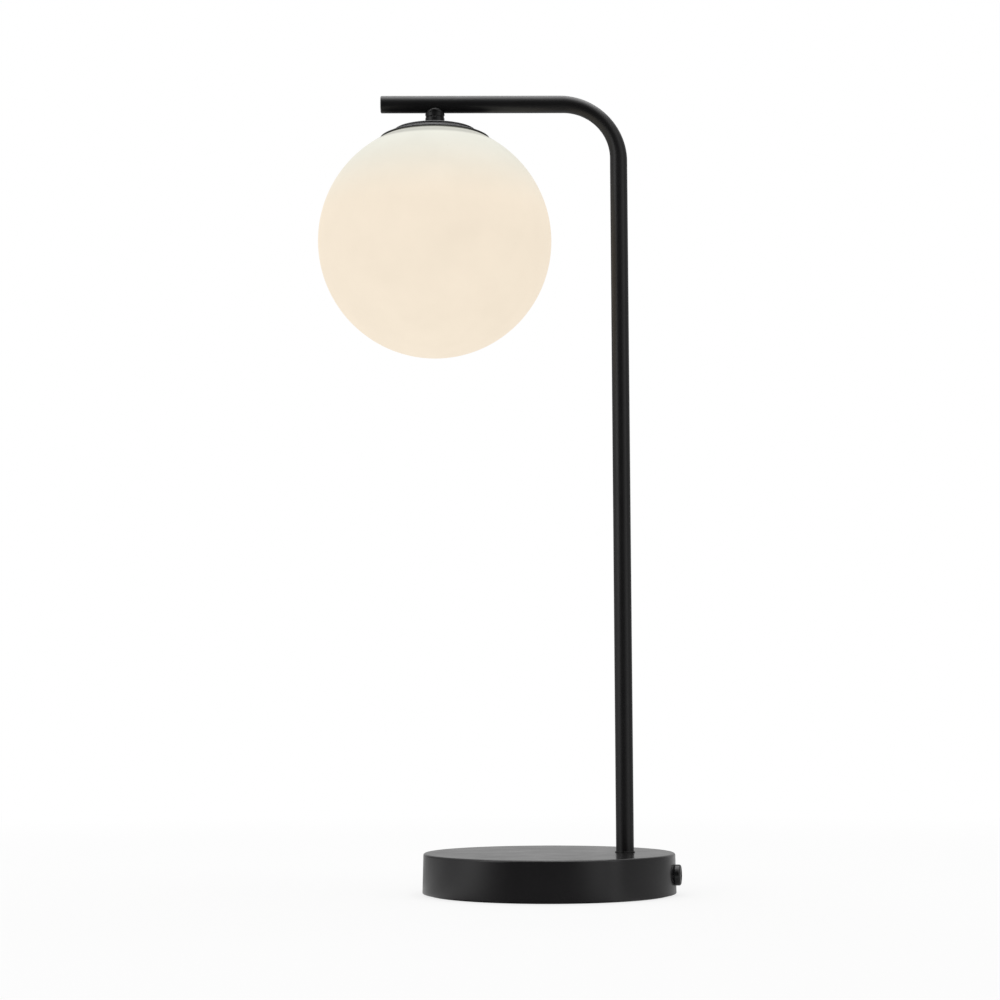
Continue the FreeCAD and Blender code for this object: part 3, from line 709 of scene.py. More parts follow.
# ------------------------------------------------------------------ meshes
@dataclass(frozen=True)
class Corner:
    """A corner of a turned outline: its radius, its height and how far it is rounded."""

    radius: float
    height: float
    rounding: float = 0.0


def spaced(first: float, last: float, steps: int) -> list[float]:
    """Evenly spaced values from the first to the last."""
    return [first + (last - first) * step / steps for step in range(steps + 1)]


def spoke(radius: float, angle: float, height: float) -> Vector:
    """A point at a radius, an angle and a height."""
    return Vector((radius * math.cos(angle), radius * math.sin(angle), height))


def rounded_outline(corners: list[Corner], arc_steps: int = 8) -> Outline:
    """Rounds the corners of a closed outline.

    Beside each rounding a point is added on the straight run, so that the flat shades flat.

    Args:
        corners: The corners in order.
        arc_steps: How many pieces each rounding has.

    Returns:
        The outline's points as (radius, height).
    """
    guard_share = 0.08
    points: list[Vector] = []
    for before, corner, after in zip(corners[-1:] + corners[:-1], corners, corners[1:] + corners[:1]):
        here = Vector((corner.radius, corner.height))
        if corner.rounding <= 0.0:
            points.append(here)
            continue
        back = (Vector((before.radius, before.height)) - here).normalized()
        ahead = (Vector((after.radius, after.height)) - here).normalized()
        half = back.angle(ahead) / 2
        reach = corner.rounding / math.tan(half)
        middle = here + (back + ahead).normalized() * (corner.rounding / math.sin(half))
        start = here + back * reach - middle
        turn = start.angle_signed(here + ahead * reach - middle)
        guard = corner.rounding * guard_share
        arc = [middle + Matrix.Rotation(angle, 2) @ start for angle in spaced(0.0, -turn, arc_steps)]
        points += [here + back * (reach + guard), *arc, here + ahead * (reach + guard)]
    return [tuple(point) for point in points]


def ball_arc(radius: float, centre: float, first: float, last: float, steps: int) -> list[Corner]:
    """Points along a ball's outline.

    Args:
        radius: The ball's radius.
        centre: Height of its middle.
        first: Angle of the first point, from straight down, in radians.
        last: Angle of the last point.
        steps: How many pieces the arc has.

    Returns:
        The arc's corners, unrounded.
    """
    return [Corner(max(0.0, radius * math.sin(angle)), centre - radius * math.cos(angle))
            for angle in spaced(first, last, steps)]


def linked(name: str, data: bpy.types.ID) -> bpy.types.Object:
    """Links a new object to the scene.

    Args:
        name: Its name, and its data's.
        data: Its mesh, curve, light or camera.

    Returns:
        The object.
    """
    data.name = name
    made = bpy.data.objects.new(name, data)
    bpy.context.scene.collection.objects.link(made)
    return made


def shade(mesh: bpy.types.Mesh) -> None:
    """Shades a mesh smooth, and sharp at its hard edges."""
    mesh.polygons.foreach_set("use_smooth", [True] * len(mesh.polygons))
    mesh.set_sharp_from_angle(angle=SHARP_ANGLE)


def shaded(name: str, built: bmesh.types.BMesh) -> bpy.types.Object:
    """Makes a shaded object of a built mesh.

    Args:
        name: The object's name.
        built: The mesh, freed here.

    Returns:
        The object.
    """
    mesh = bpy.data.meshes.new(name)
    built.to_mesh(mesh)
    built.free()
    shade(mesh)
    return linked(name, mesh)


def solid(name: str, built: bmesh.types.BMesh) -> bpy.types.Object:
    """Makes an object of a closed solid, with its faces turned outwards.

    Args:
        name: The object's name.
        built: The solid, freed here.

    Returns:
        The object.
    """
    bmesh.ops.remove_doubles(built, verts=built.verts, dist=MERGE_DISTANCE)
    bmesh.ops.recalc_face_normals(built, faces=built.faces)
    return shaded(name, built)


def turned(
    name: str, outline: Outline, foot: Vector, sides: int = PLAIN_SIDES, axis: Vector = UP
) -> bpy.types.Object:
    """A closed piece turned about an axis.

    Args:
        name: The piece's name.
        outline: The closed outline as (radius, distance along the axis).
        foot: The point that the distances start from.
        sides: How many sides the round has.
        axis: The axis's direction.

    Returns:
        The piece.
    """
    lean = UP.rotation_difference(axis).to_matrix()
    built = bmesh.new()
    rings = []
    for radius, along in outline:
        count = 1 if radius < MERGE_DISTANCE else sides
        ring = [spoke(radius, FULL_TURN * side / sides, along) for side in range(count)]
        rings.append([built.verts.new(foot + lean @ point) for point in ring])
    for ring, after in zip(rings, rings[1:] + rings[:1]):
        if len(ring) == 1 and len(after) == 1:
            continue
        for side in range(sides):
            ahead = (side + 1) % sides
            built.faces.new(dict.fromkeys((
                ring[side % len(ring)], ring[ahead % len(ring)],
                after[ahead % len(after)], after[side % len(after)])))
    return solid(name, built)


def ring_of(name: str, sections: list[Outline], foot: Vector) -> bpy.types.Object:
    """A closed ring round an upright axis whose section changes round it.

    Args:
        name: The piece's name.
        sections: Its closed sections as (radius, height), evenly spaced round it, alike in length.
        foot: The point that radii and heights start from.

    Returns:
        The piece.
    """
    built = bmesh.new()
    columns = [[built.verts.new(foot + spoke(radius, FULL_TURN * side / len(sections), height))
                for radius, height in section] for side, section in enumerate(sections)]
    for column, after in zip(columns, columns[1:] + columns[:1]):
        for step in range(len(column)):
            ahead = (step + 1) % len(column)
            built.faces.new((column[step], column[ahead], after[ahead], after[step]))
    return solid(name, built)


def evaluated(piece: bpy.types.Object) -> bpy.types.Object:
    """Swaps an object and its modifiers for the plain shaded mesh that they make.

    Args:
        piece: The object with its modifiers.

    Returns:
        A new object of the same name, without modifiers.
    """
    name = piece.name
    graph = bpy.context.evaluated_depsgraph_get()
    mesh = bpy.data.meshes.new_from_object(piece.evaluated_get(graph), depsgraph=graph)
    bpy.data.objects.remove(piece)
    shade(mesh)
    return linked(name, mesh)


def drilled(
    piece: bpy.types.Object, start: Vector, axis: Vector, radius: float, depth: float
) -> bpy.types.Object:
    """Drills a round hole.

    Args:
        piece: The piece.
        start: Where the drill starts.
        axis: Its direction.
        radius: Its radius.
        depth: How far it goes.

    Returns:
        The drilled piece.
    """
    outline = [(0.0, 0.0), (radius, 0.0), (radius, depth), (0.0, depth)]
    drill = turned("drill", outline, start, SMALL_SIDES, axis)
    cut = piece.modifiers.new("hole", "BOOLEAN")
    cut.operation = "DIFFERENCE"
    cut.solver = "EXACT"
    cut.object = drill
    done = evaluated(piece)
    bpy.data.objects.remove(drill)
    return done


# ------------------------------------------------------------------ geometry node trees
class Growth(Wiring):
    """A geometry node tree. Each kind names its inputs and wires what it makes of its object."""

    NAME: str
    INPUTS: dict[str, str]

    def __init__(self) -> None:
        """Makes the tree, which ends with real copies and the material."""
        super().__init__(bpy.data.node_groups.new(self.NAME, "GeometryNodeTree"))
        sockets = self.tree.interface
        for label, kind in {"Geometry": "Geometry", **self.INPUTS, "Material": "Material"}.items():
            sockets.new_socket(label, in_out="INPUT", socket_type="NodeSocket" + kind)
        sockets.new_socket("Geometry", in_out="OUTPUT", socket_type="NodeSocketGeometry")
        self.entry = self.node("NodeGroupInput").outputs
        real = self.out("GeometryNodeRealizeInstances", "Geometry", {"Geometry": self.wired()})
        dressed = self.out("GeometryNodeSetMaterial", "Geometry", {
            "Geometry": real, "Material": self.entry["Material"]})
        self.node("NodeGroupOutput", {"Geometry": dressed})

    def wired(self) -> Socket:
        """Wires the tree up to the geometry that it makes."""
        raise NotImplementedError

    def grow(self, piece: bpy.types.Object, finish: Finish, values: Inputs) -> bpy.types.Object:
        """Runs the tree on an object and keeps the plain mesh.

        Args:
            piece: The object that the tree starts from.
            finish: What the tree dresses it in.
            values: The tree's other inputs by name.

        Returns:
            The new object.
        """
        modifier = piece.modifiers.new(self.NAME, "NODES")
        modifier.node_group = self.tree
        values = {**values, "Material": finish.material()}
        for item in self.tree.interface.items_tree:
            if item.in_out == "INPUT" and item.name in values:
                modifier[item.identifier] = values[item.name]
        return evaluated(piece)


class BentTube(Growth):
    """A tube's outer and inner walls along a route whose corner is bent to a radius.

    In the bend the tube goes a little flat, as a bent tube does.
    """

    NAME = "bent_tube"
    INPUTS = {"Bend Radius": "Float", "Bend Middle": "Vector", "Flattening": "Float", "Bend Steps": "Int",
              "Outer Radius": "Float", "Inner Radius": "Float", "Sides": "Int"}

    def wired(self) -> Socket:
        """Sweeps both walls along the route, then flattens them in the bend.

        Returns:
            The walls.
        """
        bent = self.out("GeometryNodeFilletCurve", "Curve", {
            "Curve": self.entry["Geometry"], "Count": self.entry["Bend Steps"],
            "Radius": self.entry["Bend Radius"]}, mode="POLY")
        walls = self.node("GeometryNodeJoinGeometry", {"Geometry": self.wall(bent, "Outer Radius")})
        inner = self.out("GeometryNodeFlipFaces", "Mesh", {"Mesh": self.wall(bent, "Inner Radius")})
        self.feed(walls.inputs["Geometry"], inner)
        place = self.out("GeometryNodeInputPosition", "Position")
        apart = self.vector("SUBTRACT", place, self.entry["Bend Middle"])
        outward = self.vector("MULTIPLY", apart, ACROSS_Y)
        reach = self.vector("LENGTH", outward)
        heading = self.vector("NORMALIZE", outward)
        # Twice this product is 1 in the middle of the bend, and it is 0 on the straight runs.
        in_bend = self.product(*(self.math("MAXIMUM", self.part(heading, axis), 0.0) for axis in "XZ"))
        off_route = self.math("SUBTRACT", 1.0, self.math("DIVIDE", self.entry["Bend Radius"], reach))
        share = self.product(
            self.product(in_bend, self.entry["Flattening"]), self.product(off_route, -2.0))
        return self.out("GeometryNodeSetPosition", "Geometry", {
            "Geometry": walls.outputs["Geometry"], "Offset": self.scaled(outward, share)})

    def wall(self, route: Socket, radius: str) -> Socket:
        """One wall of the tube, whose radius is the input named."""
        section = self.out("GeometryNodeCurvePrimitiveCircle", "Curve", {
            "Resolution": self.entry["Sides"], "Radius": self.entry[radius]})
        return self.out("GeometryNodeCurveToMesh", "Mesh", {"Curve": route, "Profile Curve": section})


class SetRound(Growth):
    """Evenly spaced copies of a part round an upright axis."""

    NAME = "set_round"
    INPUTS = {"Count": "Int", "Axis": "Vector", "First Turn": "Float"}

    def wired(self) -> Socket:
        """Puts a copy at each turn round the axis.

        Returns:
            The copies.
        """
        points = self.out("GeometryNodePoints", "Points", {"Count": self.entry["Count"]})
        step = self.math("DIVIDE", FULL_TURN, self.entry["Count"])
        turns = self.product(self.out("GeometryNodeInputIndex", "Index"), step)
        angle = self.math("ADD", turns, self.entry["First Turn"])
        turn = self.out("ShaderNodeCombineXYZ", "Vector", {"Z": angle})
        copies = self.out("GeometryNodeInstanceOnPoints", "Instances", {
            "Points": points, "Instance": self.entry["Geometry"], "Rotation": turn})
        return self.out("GeometryNodeTransform", "Geometry", {
            "Geometry": copies, "Translation": self.entry["Axis"]})


class RolledThread(Growth):
    """A round thread rolled into a turned sleeve: its wall waves in and out along a helix."""

    NAME = "rolled_thread"
    INPUTS = {"Axis": "Vector", "Pitch": "Float", "Depth": "Float", "Low": "Float", "High": "Float",
              "Run Out": "Float"}

    def wired(self) -> Socket:
        """Moves the wall inwards by a wave that runs out at both ends.

        Returns:
            The rolled sleeve.
        """
        place = self.out("GeometryNodeInputPosition", "Position")
        offset = self.vector("SUBTRACT", place, self.entry["Axis"])
        outward = self.vector("NORMALIZE", self.vector("MULTIPLY", offset, ACROSS_Z))
        height = self.part(place, "Z")
        angle = self.math("ARCTAN2", self.part(offset, "Y"), self.part(offset, "X"))
        rise = self.product(self.math("DIVIDE", height, self.entry["Pitch"]), FULL_TURN)
        wave = self.math("COSINE", self.math("SUBTRACT", rise, angle))
        inward = self.math("MULTIPLY_ADD", wave, 0.5, -0.5)
        above, below = (
            self.math("DIVIDE", self.math("SUBTRACT", *span), self.entry["Run Out"])
            for span in ((height, self.entry["Low"]), (self.entry["High"], height)))
        share = self.out("ShaderNodeClamp", "Result", {"Value": self.math("MINIMUM", above, below)})
        push = self.product(inward, share, self.entry["Depth"])
        return self.out("GeometryNodeSetPosition", "Geometry", {
            "Geometry": self.entry["Geometry"], "Offset": self.scaled(outward, push)})


BENT_TUBE, SET_ROUND, ROLLED_THREAD = BentTube(), SetRound(), RolledThread()


# ------------------------------------------------------------------ this lamp's finishes
NECK_AXIS = tuple(Room.of("neck_sleeve").foot)
GLOBE_ROOM = Room.of("glass_globe")
GLOBE_TOP = GLOBE_ROOM.high.z

BLACK_COAT = SatinCoat("satin_black_coat", Slot.BLACK_PAINT, (0.0062, 0.0058, 0.0064))
BASE_COAT = SatinCoat(
    "smooth_black_coat", Slot.BLACK_PAINT, (0.0095, 0.009, 0.0097), roughness=0.2, relief=0.004 * MM)
CASTING = Moulded(
    "rough_grey_casting", Slot.CAST_WEIGHT, (0.16, 0.16, 0.165), roughness=0.7, grain_size=0.8 * MM,
    relief=0.2 * MM, drift=0.2, rub=0.5)
ZINC = Metal("zinc_plated_steel", Slot.ZINC_STEEL, (0.62, 0.63, 0.62), roughness=0.36)
SPRING = Metal("bright_spring_steel", Slot.SPRING_STEEL, (0.56, 0.56, 0.56), roughness=0.28, axis=NECK_AXIS)
BRASS = Metal("bright_brass", Slot.BRASS, (0.78, 0.6, 0.28), roughness=0.26, axis=NECK_AXIS)
NICKEL = Metal("nickel_plate", Slot.NICKEL, (0.72, 0.7, 0.66), roughness=0.22, axis=NECK_AXIS)
BLACK_MOULDING = Moulded(
    "black_moulding", Slot.BLACK_PLASTIC, (0.006, 0.006, 0.0065), roughness=0.3, gloss=0.5, rub=0.2)
WHITE_MOULDING = Moulded("white_moulding", Slot.WHITE_PLASTIC, (0.8, 0.8, 0.78), roughness=0.4, drift=0.02)
FELT = Felt("black_felt", Slot.FOOT_FELT, (0.05, 0.05, 0.05))
SEAL = Moulded("clear_silicone", Slot.SEAL_RUBBER, (0.72, 0.71, 0.67), roughness=0.55, drift=0.04)
OPAL = LitOpal(
    "lit_opal_glass", Slot.OPAL_GLASS, (0.2, 0.195, 0.185), cool=(0.735, 0.735, 0.645), glow=0.82,
    low=GLOBE_ROOM.middle.z + 15.0 * MM, high=GLOBE_TOP - 8.0 * MM, shade_from=GLOBE_TOP - 12.5 * MM,
    shade_full=GLOBE_TOP - 8.5 * MM, shade_over=GLOBE_TOP - 3.2 * MM)
FROSTED = LitOpal(
    "lit_frosted_glass", Slot.FROSTED_GLASS, (0.42, 0.4, 0.375), warm=(1.0, 0.86, 0.64),
    cool=(0.95, 0.78, 0.52), glow=0.65, low=GLOBE_ROOM.middle.z, high=Room.of("bulb_glass").high.z,
    roughness=0.35)
DARK_GLASS = Moulded("dark_glass_insulator", Slot.DARK_GLASS, (0.03, 0.018, 0.03), roughness=0.12, gloss=0.6)
STEATITE = Moulded(
    "unglazed_steatite", Slot.HOLDER_CERAMIC, (0.8, 0.79, 0.74), roughness=0.75, relief=0.03 * MM)
LIVE = Moulded("brown_insulation", Slot.LIVE_COVER, (0.13, 0.045, 0.02), roughness=0.45)
NEUTRAL = Moulded("blue_insulation", Slot.NEUTRAL_COVER, (0.02, 0.09, 0.36), roughness=0.45)
EARTH = StripedCover("green_and_yellow_insulation", Slot.EARTH_COVER, (0.04, 0.24, 0.05))

FINISHES: dict[Slot, Finish] = {finish.slot: finish for finish in (
    BLACK_COAT, CASTING, ZINC, SPRING, BRASS, NICKEL, BLACK_MOULDING, WHITE_MOULDING, FELT, SEAL, OPAL,
    FROSTED, DARK_GLASS, STEATITE, LIVE, NEUTRAL, EARTH)}

BODY_OF_NODE = {
    node: body for body, nodes in frame["record"]["behaviour"]["bodies"].items() for node in nodes}
SLOT_OF_NODE = {part["node"]: Slot(part["material_slot"]) for part in frame["record"]["subparts"]}


def fit(piece: bpy.types.Object, node: str, finish: Finish | None = None) -> None:
    """Gives a piece the finish and the body of the node that it stands for.

    Args:
        piece: The finished piece.
        node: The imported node.
        finish: A finish of its own, in the same slot.
    """
    slot = SLOT_OF_NODE[node]
    faces = len(piece.data.polygons)
    piece.data.materials.clear()
    piece.data.materials.append((finish or FINISHES[slot]).material())
    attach(piece, BODY_OF_NODE[node])
    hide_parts(node)
    LOG.info("%s stands for %s on %s: %d faces", piece.name, node, BODY_OF_NODE[node], faces)


def fit_turned(
    name: str, node: str, corners: list[Corner], foot: Vector, sides: int = PLAIN_SIDES, axis: Vector = UP
) -> None:
    """Turns a rounded outline about an axis and fits it in its node's place."""
    fit(turned(name, rounded_outline(corners), foot, sides, axis), node)


def thread_bore(gap: float) -> float:
    """Radius of a hole that the neck's hollow thread passes with a gap."""
    return Room.of("neck_nipple").radius + gap


# ------------------------------------------------------------------ sub-assemblies
@dataclass(frozen=True)
class HexNut:
    """A hexagon nut whose corners are turned off at both faces."""

    flats: float = 14.0 * MM
    bore: float = 5.05 * MM
    corner_slope: float = math.tan(math.radians(30.0))
    steps_per_flat: int = 8

    def made(self, name: str, foot: Vector, height: float) -> bpy.types.Object:
        """Builds the nut.

        Args:
            name: The piece's name.
            foot: The middle of its lower face.
            height: Its height.

        Returns:
            The nut.
        """
        half = self.flats / 2
        count = 6 * self.steps_per_flat
        sections = []
        for step in range(count):
            within = (FULL_TURN * step / count + math.pi / 6) % (math.pi / 3) - math.pi / 6
            reach = half / math.cos(within)
            drop = (reach - half) * self.corner_slope
            sections.append([
                (self.bore, 0.0), (half, 0.0), (reach, drop),
                (reach, height - drop), (half, height), (self.bore, height)])
        return ring_of(name, sections, foot)

    def fitted(self, name: str, node: str) -> None:
        """Builds the nut in its node's room and fits it."""
        room = Room.of(node)
        fit(self.made(name, room.foot, room.height), node)


@dataclass
class Base:
    """The round base: its pressed cover, soft pad and cord bushing."""

    draft: float = 0.6 * MM
    edge_round: float = 1.5 * MM
    edge_steps: int = 12
    sheet: float = 1.2 * MM
    rim_round: float = 0.45 * MM
    hole_gap: float = 0.2 * MM
    pad_round: float = 0.6 * MM
    stud_radius: float = 2.5 * MM
    nut_count: int = 3
    nut_flats: float = 8.0 * MM
    nut_gap: float = 0.05 * MM

    def build(self) -> None:
        """Builds the base's pieces."""
        self.cover()
        self.pad()
        Bushing().build()
        self.nuts()

    def cover(self) -> None:
        """The pressed steel cover, with the post's and the bushing's holes."""
        room = Room.of("base_cover")
        radius, rim, top, sheet = room.radius, room.low.z, room.high.z, self.sheet
        top_radius = radius - self.draft
        shell = turned("painted_base_cover", rounded_outline([
            Corner(0.0, top),
            Corner(top_radius / 2, top),
            Corner(top_radius, top, self.edge_round),
            Corner(radius, rim, self.rim_round),
            Corner(radius - sheet, rim, self.rim_round),
            Corner(top_radius - sheet, top - sheet, self.edge_round - sheet),
            Corner(0.0, top - sheet),
        ], self.edge_steps), Vector(), FINE_SIDES)
        post, bushing = Room.of("post_nipple"), Bushing()
        through = 4.0 * sheet
        under = Vector((post.middle.x, 0.0, top - through / 2))
        shell = drilled(shell, under, UP, post.radius + self.hole_gap, through)
        start = bushing.seat - bushing.axis * through
        shell = drilled(shell, start, bushing.axis, bushing.thread_radius + self.hole_gap, 2.0 * through)
        fit(shell, "base_cover", BASE_COAT)

    def pad(self) -> None:
        """The felt pad, soft at its lower edge."""
        room = Room.of("foot_pad")
        fit_turned("felt_foot_pad", "foot_pad", [
            Corner(0.0, room.high.z),
            Corner(room.radius, room.high.z),
            Corner(room.radius, 0.0, self.pad_round),
            Corner(0.0, 0.0),
        ], Vector(), FINE_SIDES)

    def nuts(self) -> None:
        """The weight's three nuts and the post's locknut."""
        room = Room.of("stud_nuts")
        studs = Room.of("cover_studs").high
        x, y = studs.x - self.stud_radius, studs.y - self.stud_radius
        foot = Vector((math.hypot(x, y), 0.0, room.low.z))
        one = HexNut(self.nut_flats, self.stud_radius + self.nut_gap).made("weight_nuts", foot, room.height)
        inputs = {"Count": self.nut_count, "Axis": ORIGIN, "First Turn": math.atan2(y, x)}
        fit(SET_ROUND.grow(one, ZINC, inputs), "stud_nuts")
        HexNut().fitted("post_lock_nut", "post_locknut")


@dataclass
class Bushing:
    """The moulded bushing that the cord would leave through, on the base's right side."""

    height: float = 14.0 * MM
    turn: float = math.radians(-11.0)
    head_radius: float = 7.3 * MM
    head_depth: float = 4.2 * MM
    head_round: float = 1.5 * MM
    thread_radius: float = 5.5 * MM
    thread_length: float = 9.0 * MM
    bore: float = 3.2 * MM
    mouth: float = 0.9 * MM
    fine_round: float = 0.3 * MM
    end_round: float = 0.4 * MM

    @property
    def axis(self) -> Vector:
        """The bushing's direction, out of the base."""
        return Vector((math.cos(self.turn), math.sin(self.turn), 0.0))

    @property
    def seat(self) -> Vector:
        """The middle of the face that the head seats with.

        Returns:
            The point.
        """
        head_edge = self.head_radius * abs(math.sin(self.turn))
        tip = (Room.of("cord_bushing").high.x - head_edge) / math.cos(self.turn)
        return self.axis * (tip - self.head_depth) + UP * self.height

    def build(self) -> None:
        """Builds the bushing: a rounded head, a thread and a bore with an eased mouth."""
        depth, bore = self.head_depth, self.bore
        fit_turned("cord_bushing_moulding", "cord_bushing", [
            Corner(bore, depth - self.mouth, self.fine_round),
            Corner(bore + self.mouth, depth, self.end_round),
            Corner(self.head_radius, depth, self.head_round),
            Corner(self.head_radius, 0.0, self.fine_round),
            Corner(self.thread_radius, 0.0),
            Corner(self.thread_radius, -self.thread_length, self.end_round),
            Corner(bore, -self.thread_length, self.end_round),
        ], self.seat, PLAIN_SIDES, self.axis)


@dataclass
class Post:
    """The post with its bent arm: one painted tube, its foot ring and its end plug."""

    radius: float = 6.35 * MM
    bend_radius: float = 42.0 * MM
    flattening: float = 0.1
    wall: float = 1.2 * MM
    bend_steps: int = 64
    lead_hole: float = 4.0 * MM
    plug_stem: float = 6.0 * MM
    plug_gap: float = 0.05 * MM
    plug_round: float = 0.9 * MM
    plug_dome: float = 0.25 * MM
    plug_steps: int = 6
    stem_round: float = 0.4 * MM
    hole_gap: float = 0.2 * MM
    ring_trim: float = 0.3 * MM
    ring_round: float = 0.2 * MM

    def build(self) -> None:
        """Builds the post's pieces."""
        self.tube()
        self.end_plug()
        self.foot_ring()

    def tube(self) -> None:
        """The tube: up, round the bend and out, with the leads' hole over the neck."""
        room = Room.of("lamp_tube")
        post_x, arm_z = room.high.x - self.radius, room.high.z - self.radius
        route = bpy.data.curves.new("tube_route", "CURVE")
        route.dimensions = "3D"
        line = route.splines.new("POLY")
        line.points.add(2)
        for point, x, z in zip(line.points, (post_x, post_x, room.low.x), (room.low.z, arm_z, arm_z)):
            point.co = (x, 0.0, z, 1.0)
        tube = BENT_TUBE.grow(linked("bent_lamp_tube", route), BLACK_COAT, {
            "Bend Radius": self.bend_radius, "Flattening": self.flattening, "Bend Steps": self.bend_steps,
            "Bend Middle": (post_x - self.bend_radius, 0.0, arm_z - self.bend_radius),
            "Outer Radius": self.radius, "Inner Radius": self.radius - self.wall, "Sides": PLAIN_SIDES})
        self.close_ends(tube)
        over_neck = Vector((Room.of("neck_nipple").middle.x, 0.0, arm_z))
        fit(drilled(tube, over_neck, -UP, self.lead_hole, 2.0 * self.radius), "lamp_tube")

    def close_ends(self, tube: bpy.types.Object) -> None:
        """Joins the tube's outer and inner walls at both ends.

        Args:
            tube: The tube's two open walls.
        """
        built = bmesh.new()
        built.from_mesh(tube.data)
        ends = [edge for edge in built.edges if edge.is_boundary]
        low = [edge for edge in ends if max(v.co.z for v in edge.verts) < self.bend_radius * 2]
        bmesh.ops.bridge_loops(built, edges=low)
        bmesh.ops.bridge_loops(built, edges=[edge for edge in ends if edge not in low])
        bmesh.ops.recalc_face_normals(built, faces=built.faces)
        built.to_mesh(tube.data)
        built.free()

    def end_plug(self) -> None:
        """The plug that closes the arm, with a faintly domed face."""
        tube = Room.of("lamp_tube")
        radius = self.radius
        head = tube.low.x - Room.of("arm_end_plug").low.x
        stem = radius - self.wall - self.plug_gap
        crown = radius ** 2 / (2.0 * self.plug_dome)
        face = [Corner(reach, head - crown + math.sqrt(crown ** 2 - reach ** 2))
                for reach in spaced(0.0, radius - self.plug_round, self.plug_steps)]
        fit_turned("domed_end_plug", "arm_end_plug", [
            *face,
            Corner(radius, head - self.plug_dome, self.plug_round),
            Corner(radius, 0.0),
            Corner(stem, 0.0),
            Corner(stem, -self.plug_stem, self.stem_round),
            Corner(0.0, -self.plug_stem),
        ], Vector((tube.low.x, 0.0, tube.high.z - radius)), PLAIN_SIDES, LEFT)

    def foot_ring(self) -> None:
        """The thin ring round the post's foot."""
        room = Room.of("post_foot_ring")
        bore = Room.of("post_nipple").radius + self.hole_gap
        radius = room.radius - self.ring_trim
        fit_turned("post_foot_washer", "post_foot_ring", [
            Corner(bore, 0.0),
            Corner(radius, 0.0, self.ring_round),
            Corner(radius, room.height, self.ring_round),
            Corner(bore, room.height),
        ], room.foot)


@dataclass
class Neck:
    """The short neck under the arm: a saddle collar brazed to the tube and a plain sleeve."""

    braze_gap: float = 0.03 * MM
    edge: float = 0.3 * MM
    rings: int = 18
    rise: float = 1.7 * MM
    braze_slope: float = 0.7
    lip: float = 0.4 * MM
    lip_height: float = 2.0 * MM
    lip_root: float = 0.3 * MM
    sleeve_chamfer: float = 0.5 * MM
    chamfer_round: float = 0.15 * MM
    foot_height: float = 1.4 * MM
    foot_taper: float = 0.35 * MM
    foot_rounds: tuple[float, float] = (0.1 * MM, 0.08 * MM)
    groove: float = 0.25 * MM
    groove_round: float = 0.05 * MM
    hole_gap: float = 0.2 * MM

    def build(self) -> None:
        """Builds the neck's pieces."""
        self.collar()
        self.sleeve()

    def collar(self) -> None:
        """The collar, whose top is arched across the arm and hollowed to its round."""
        room = Room.of("neck_collar")
        low, radius = room.low.z, room.radius
        bore = thread_bore(self.hole_gap)
        sections = []
        for side in range(PLAIN_SIDES):
            angle = FULL_TURN * side / PLAIN_SIDES
            section = [(bore, low), (radius - self.edge, low), (radius, low + self.edge)]
            for out, down in self.lip_section():
                height = self.top(room, radius + out, angle) - down
                section.append((radius + out, max(height, low + 2.0 * self.edge)))
            section += [(reach, self.top(room, reach, angle))
                        for reach in spaced(radius - self.edge, bore, self.rings)]
            sections.append(section)
        fit(ring_of("saddle_collar", sections, room.ground), "neck_collar")

    def top(self, room: Room, reach: float, angle: float) -> float:
        """Height of the collar's top.

        Args:
            room: The collar's room.
            reach: Distance from its axis.
            angle: Turn round its axis.

        Returns:
            The height.
        """
        x, y = reach * math.cos(angle), reach * math.sin(angle)
        arm_z = Room.of("lamp_tube").high.z - Post.radius
        arch = (room.radius ** 2 + self.rise ** 2) / (2.0 * self.rise)
        arched = arm_z - Post.radius + self.rise - arch + math.sqrt(arch ** 2 - x ** 2)
        height = arched + (room.radius - reach) * self.braze_slope
        seat = Post.radius + self.braze_gap
        return min(height, arm_z - math.sqrt(seat ** 2 - y ** 2)) if abs(y) < seat else height

    def lip_section(self) -> list[tuple[float, float]]:
        """The brazed lip's outline from below.

        Returns:
            Its points: how far out and how far under the arch.
        """
        arc = [math.radians(angle) for angle in range(-80, 81, 20)]
        half = self.lip_height / 2
        bead = [(self.lip * math.cos(angle), half * (1.0 - math.sin(angle))) for angle in arc]
        return [(0.0, self.lip_height + self.lip_root), *bead]

    def sleeve(self) -> None:
        """The sleeve that the cap hangs from: chamfered at its top, drawn in at its foot."""
        room = Room.of("neck_sleeve")
        bore, radius, height = thread_bore(self.hole_gap), room.radius, room.height
        fit_turned("neck_spacer", "neck_sleeve", [
            Corner(bore, 0.0),
            Corner(radius - self.foot_taper, 0.0, self.foot_rounds[0]),
            Corner(radius, self.foot_height, self.foot_rounds[1]),
            Corner(radius - self.groove, self.foot_height + self.groove, self.groove_round),
            Corner(radius, self.foot_height + 2.0 * self.groove, self.groove_round),
            Corner(radius, height - self.sleeve_chamfer, self.chamfer_round),
            Corner(radius - self.sleeve_chamfer, height, self.chamfer_round),
            Corner(bore, height),
        ], room.foot)


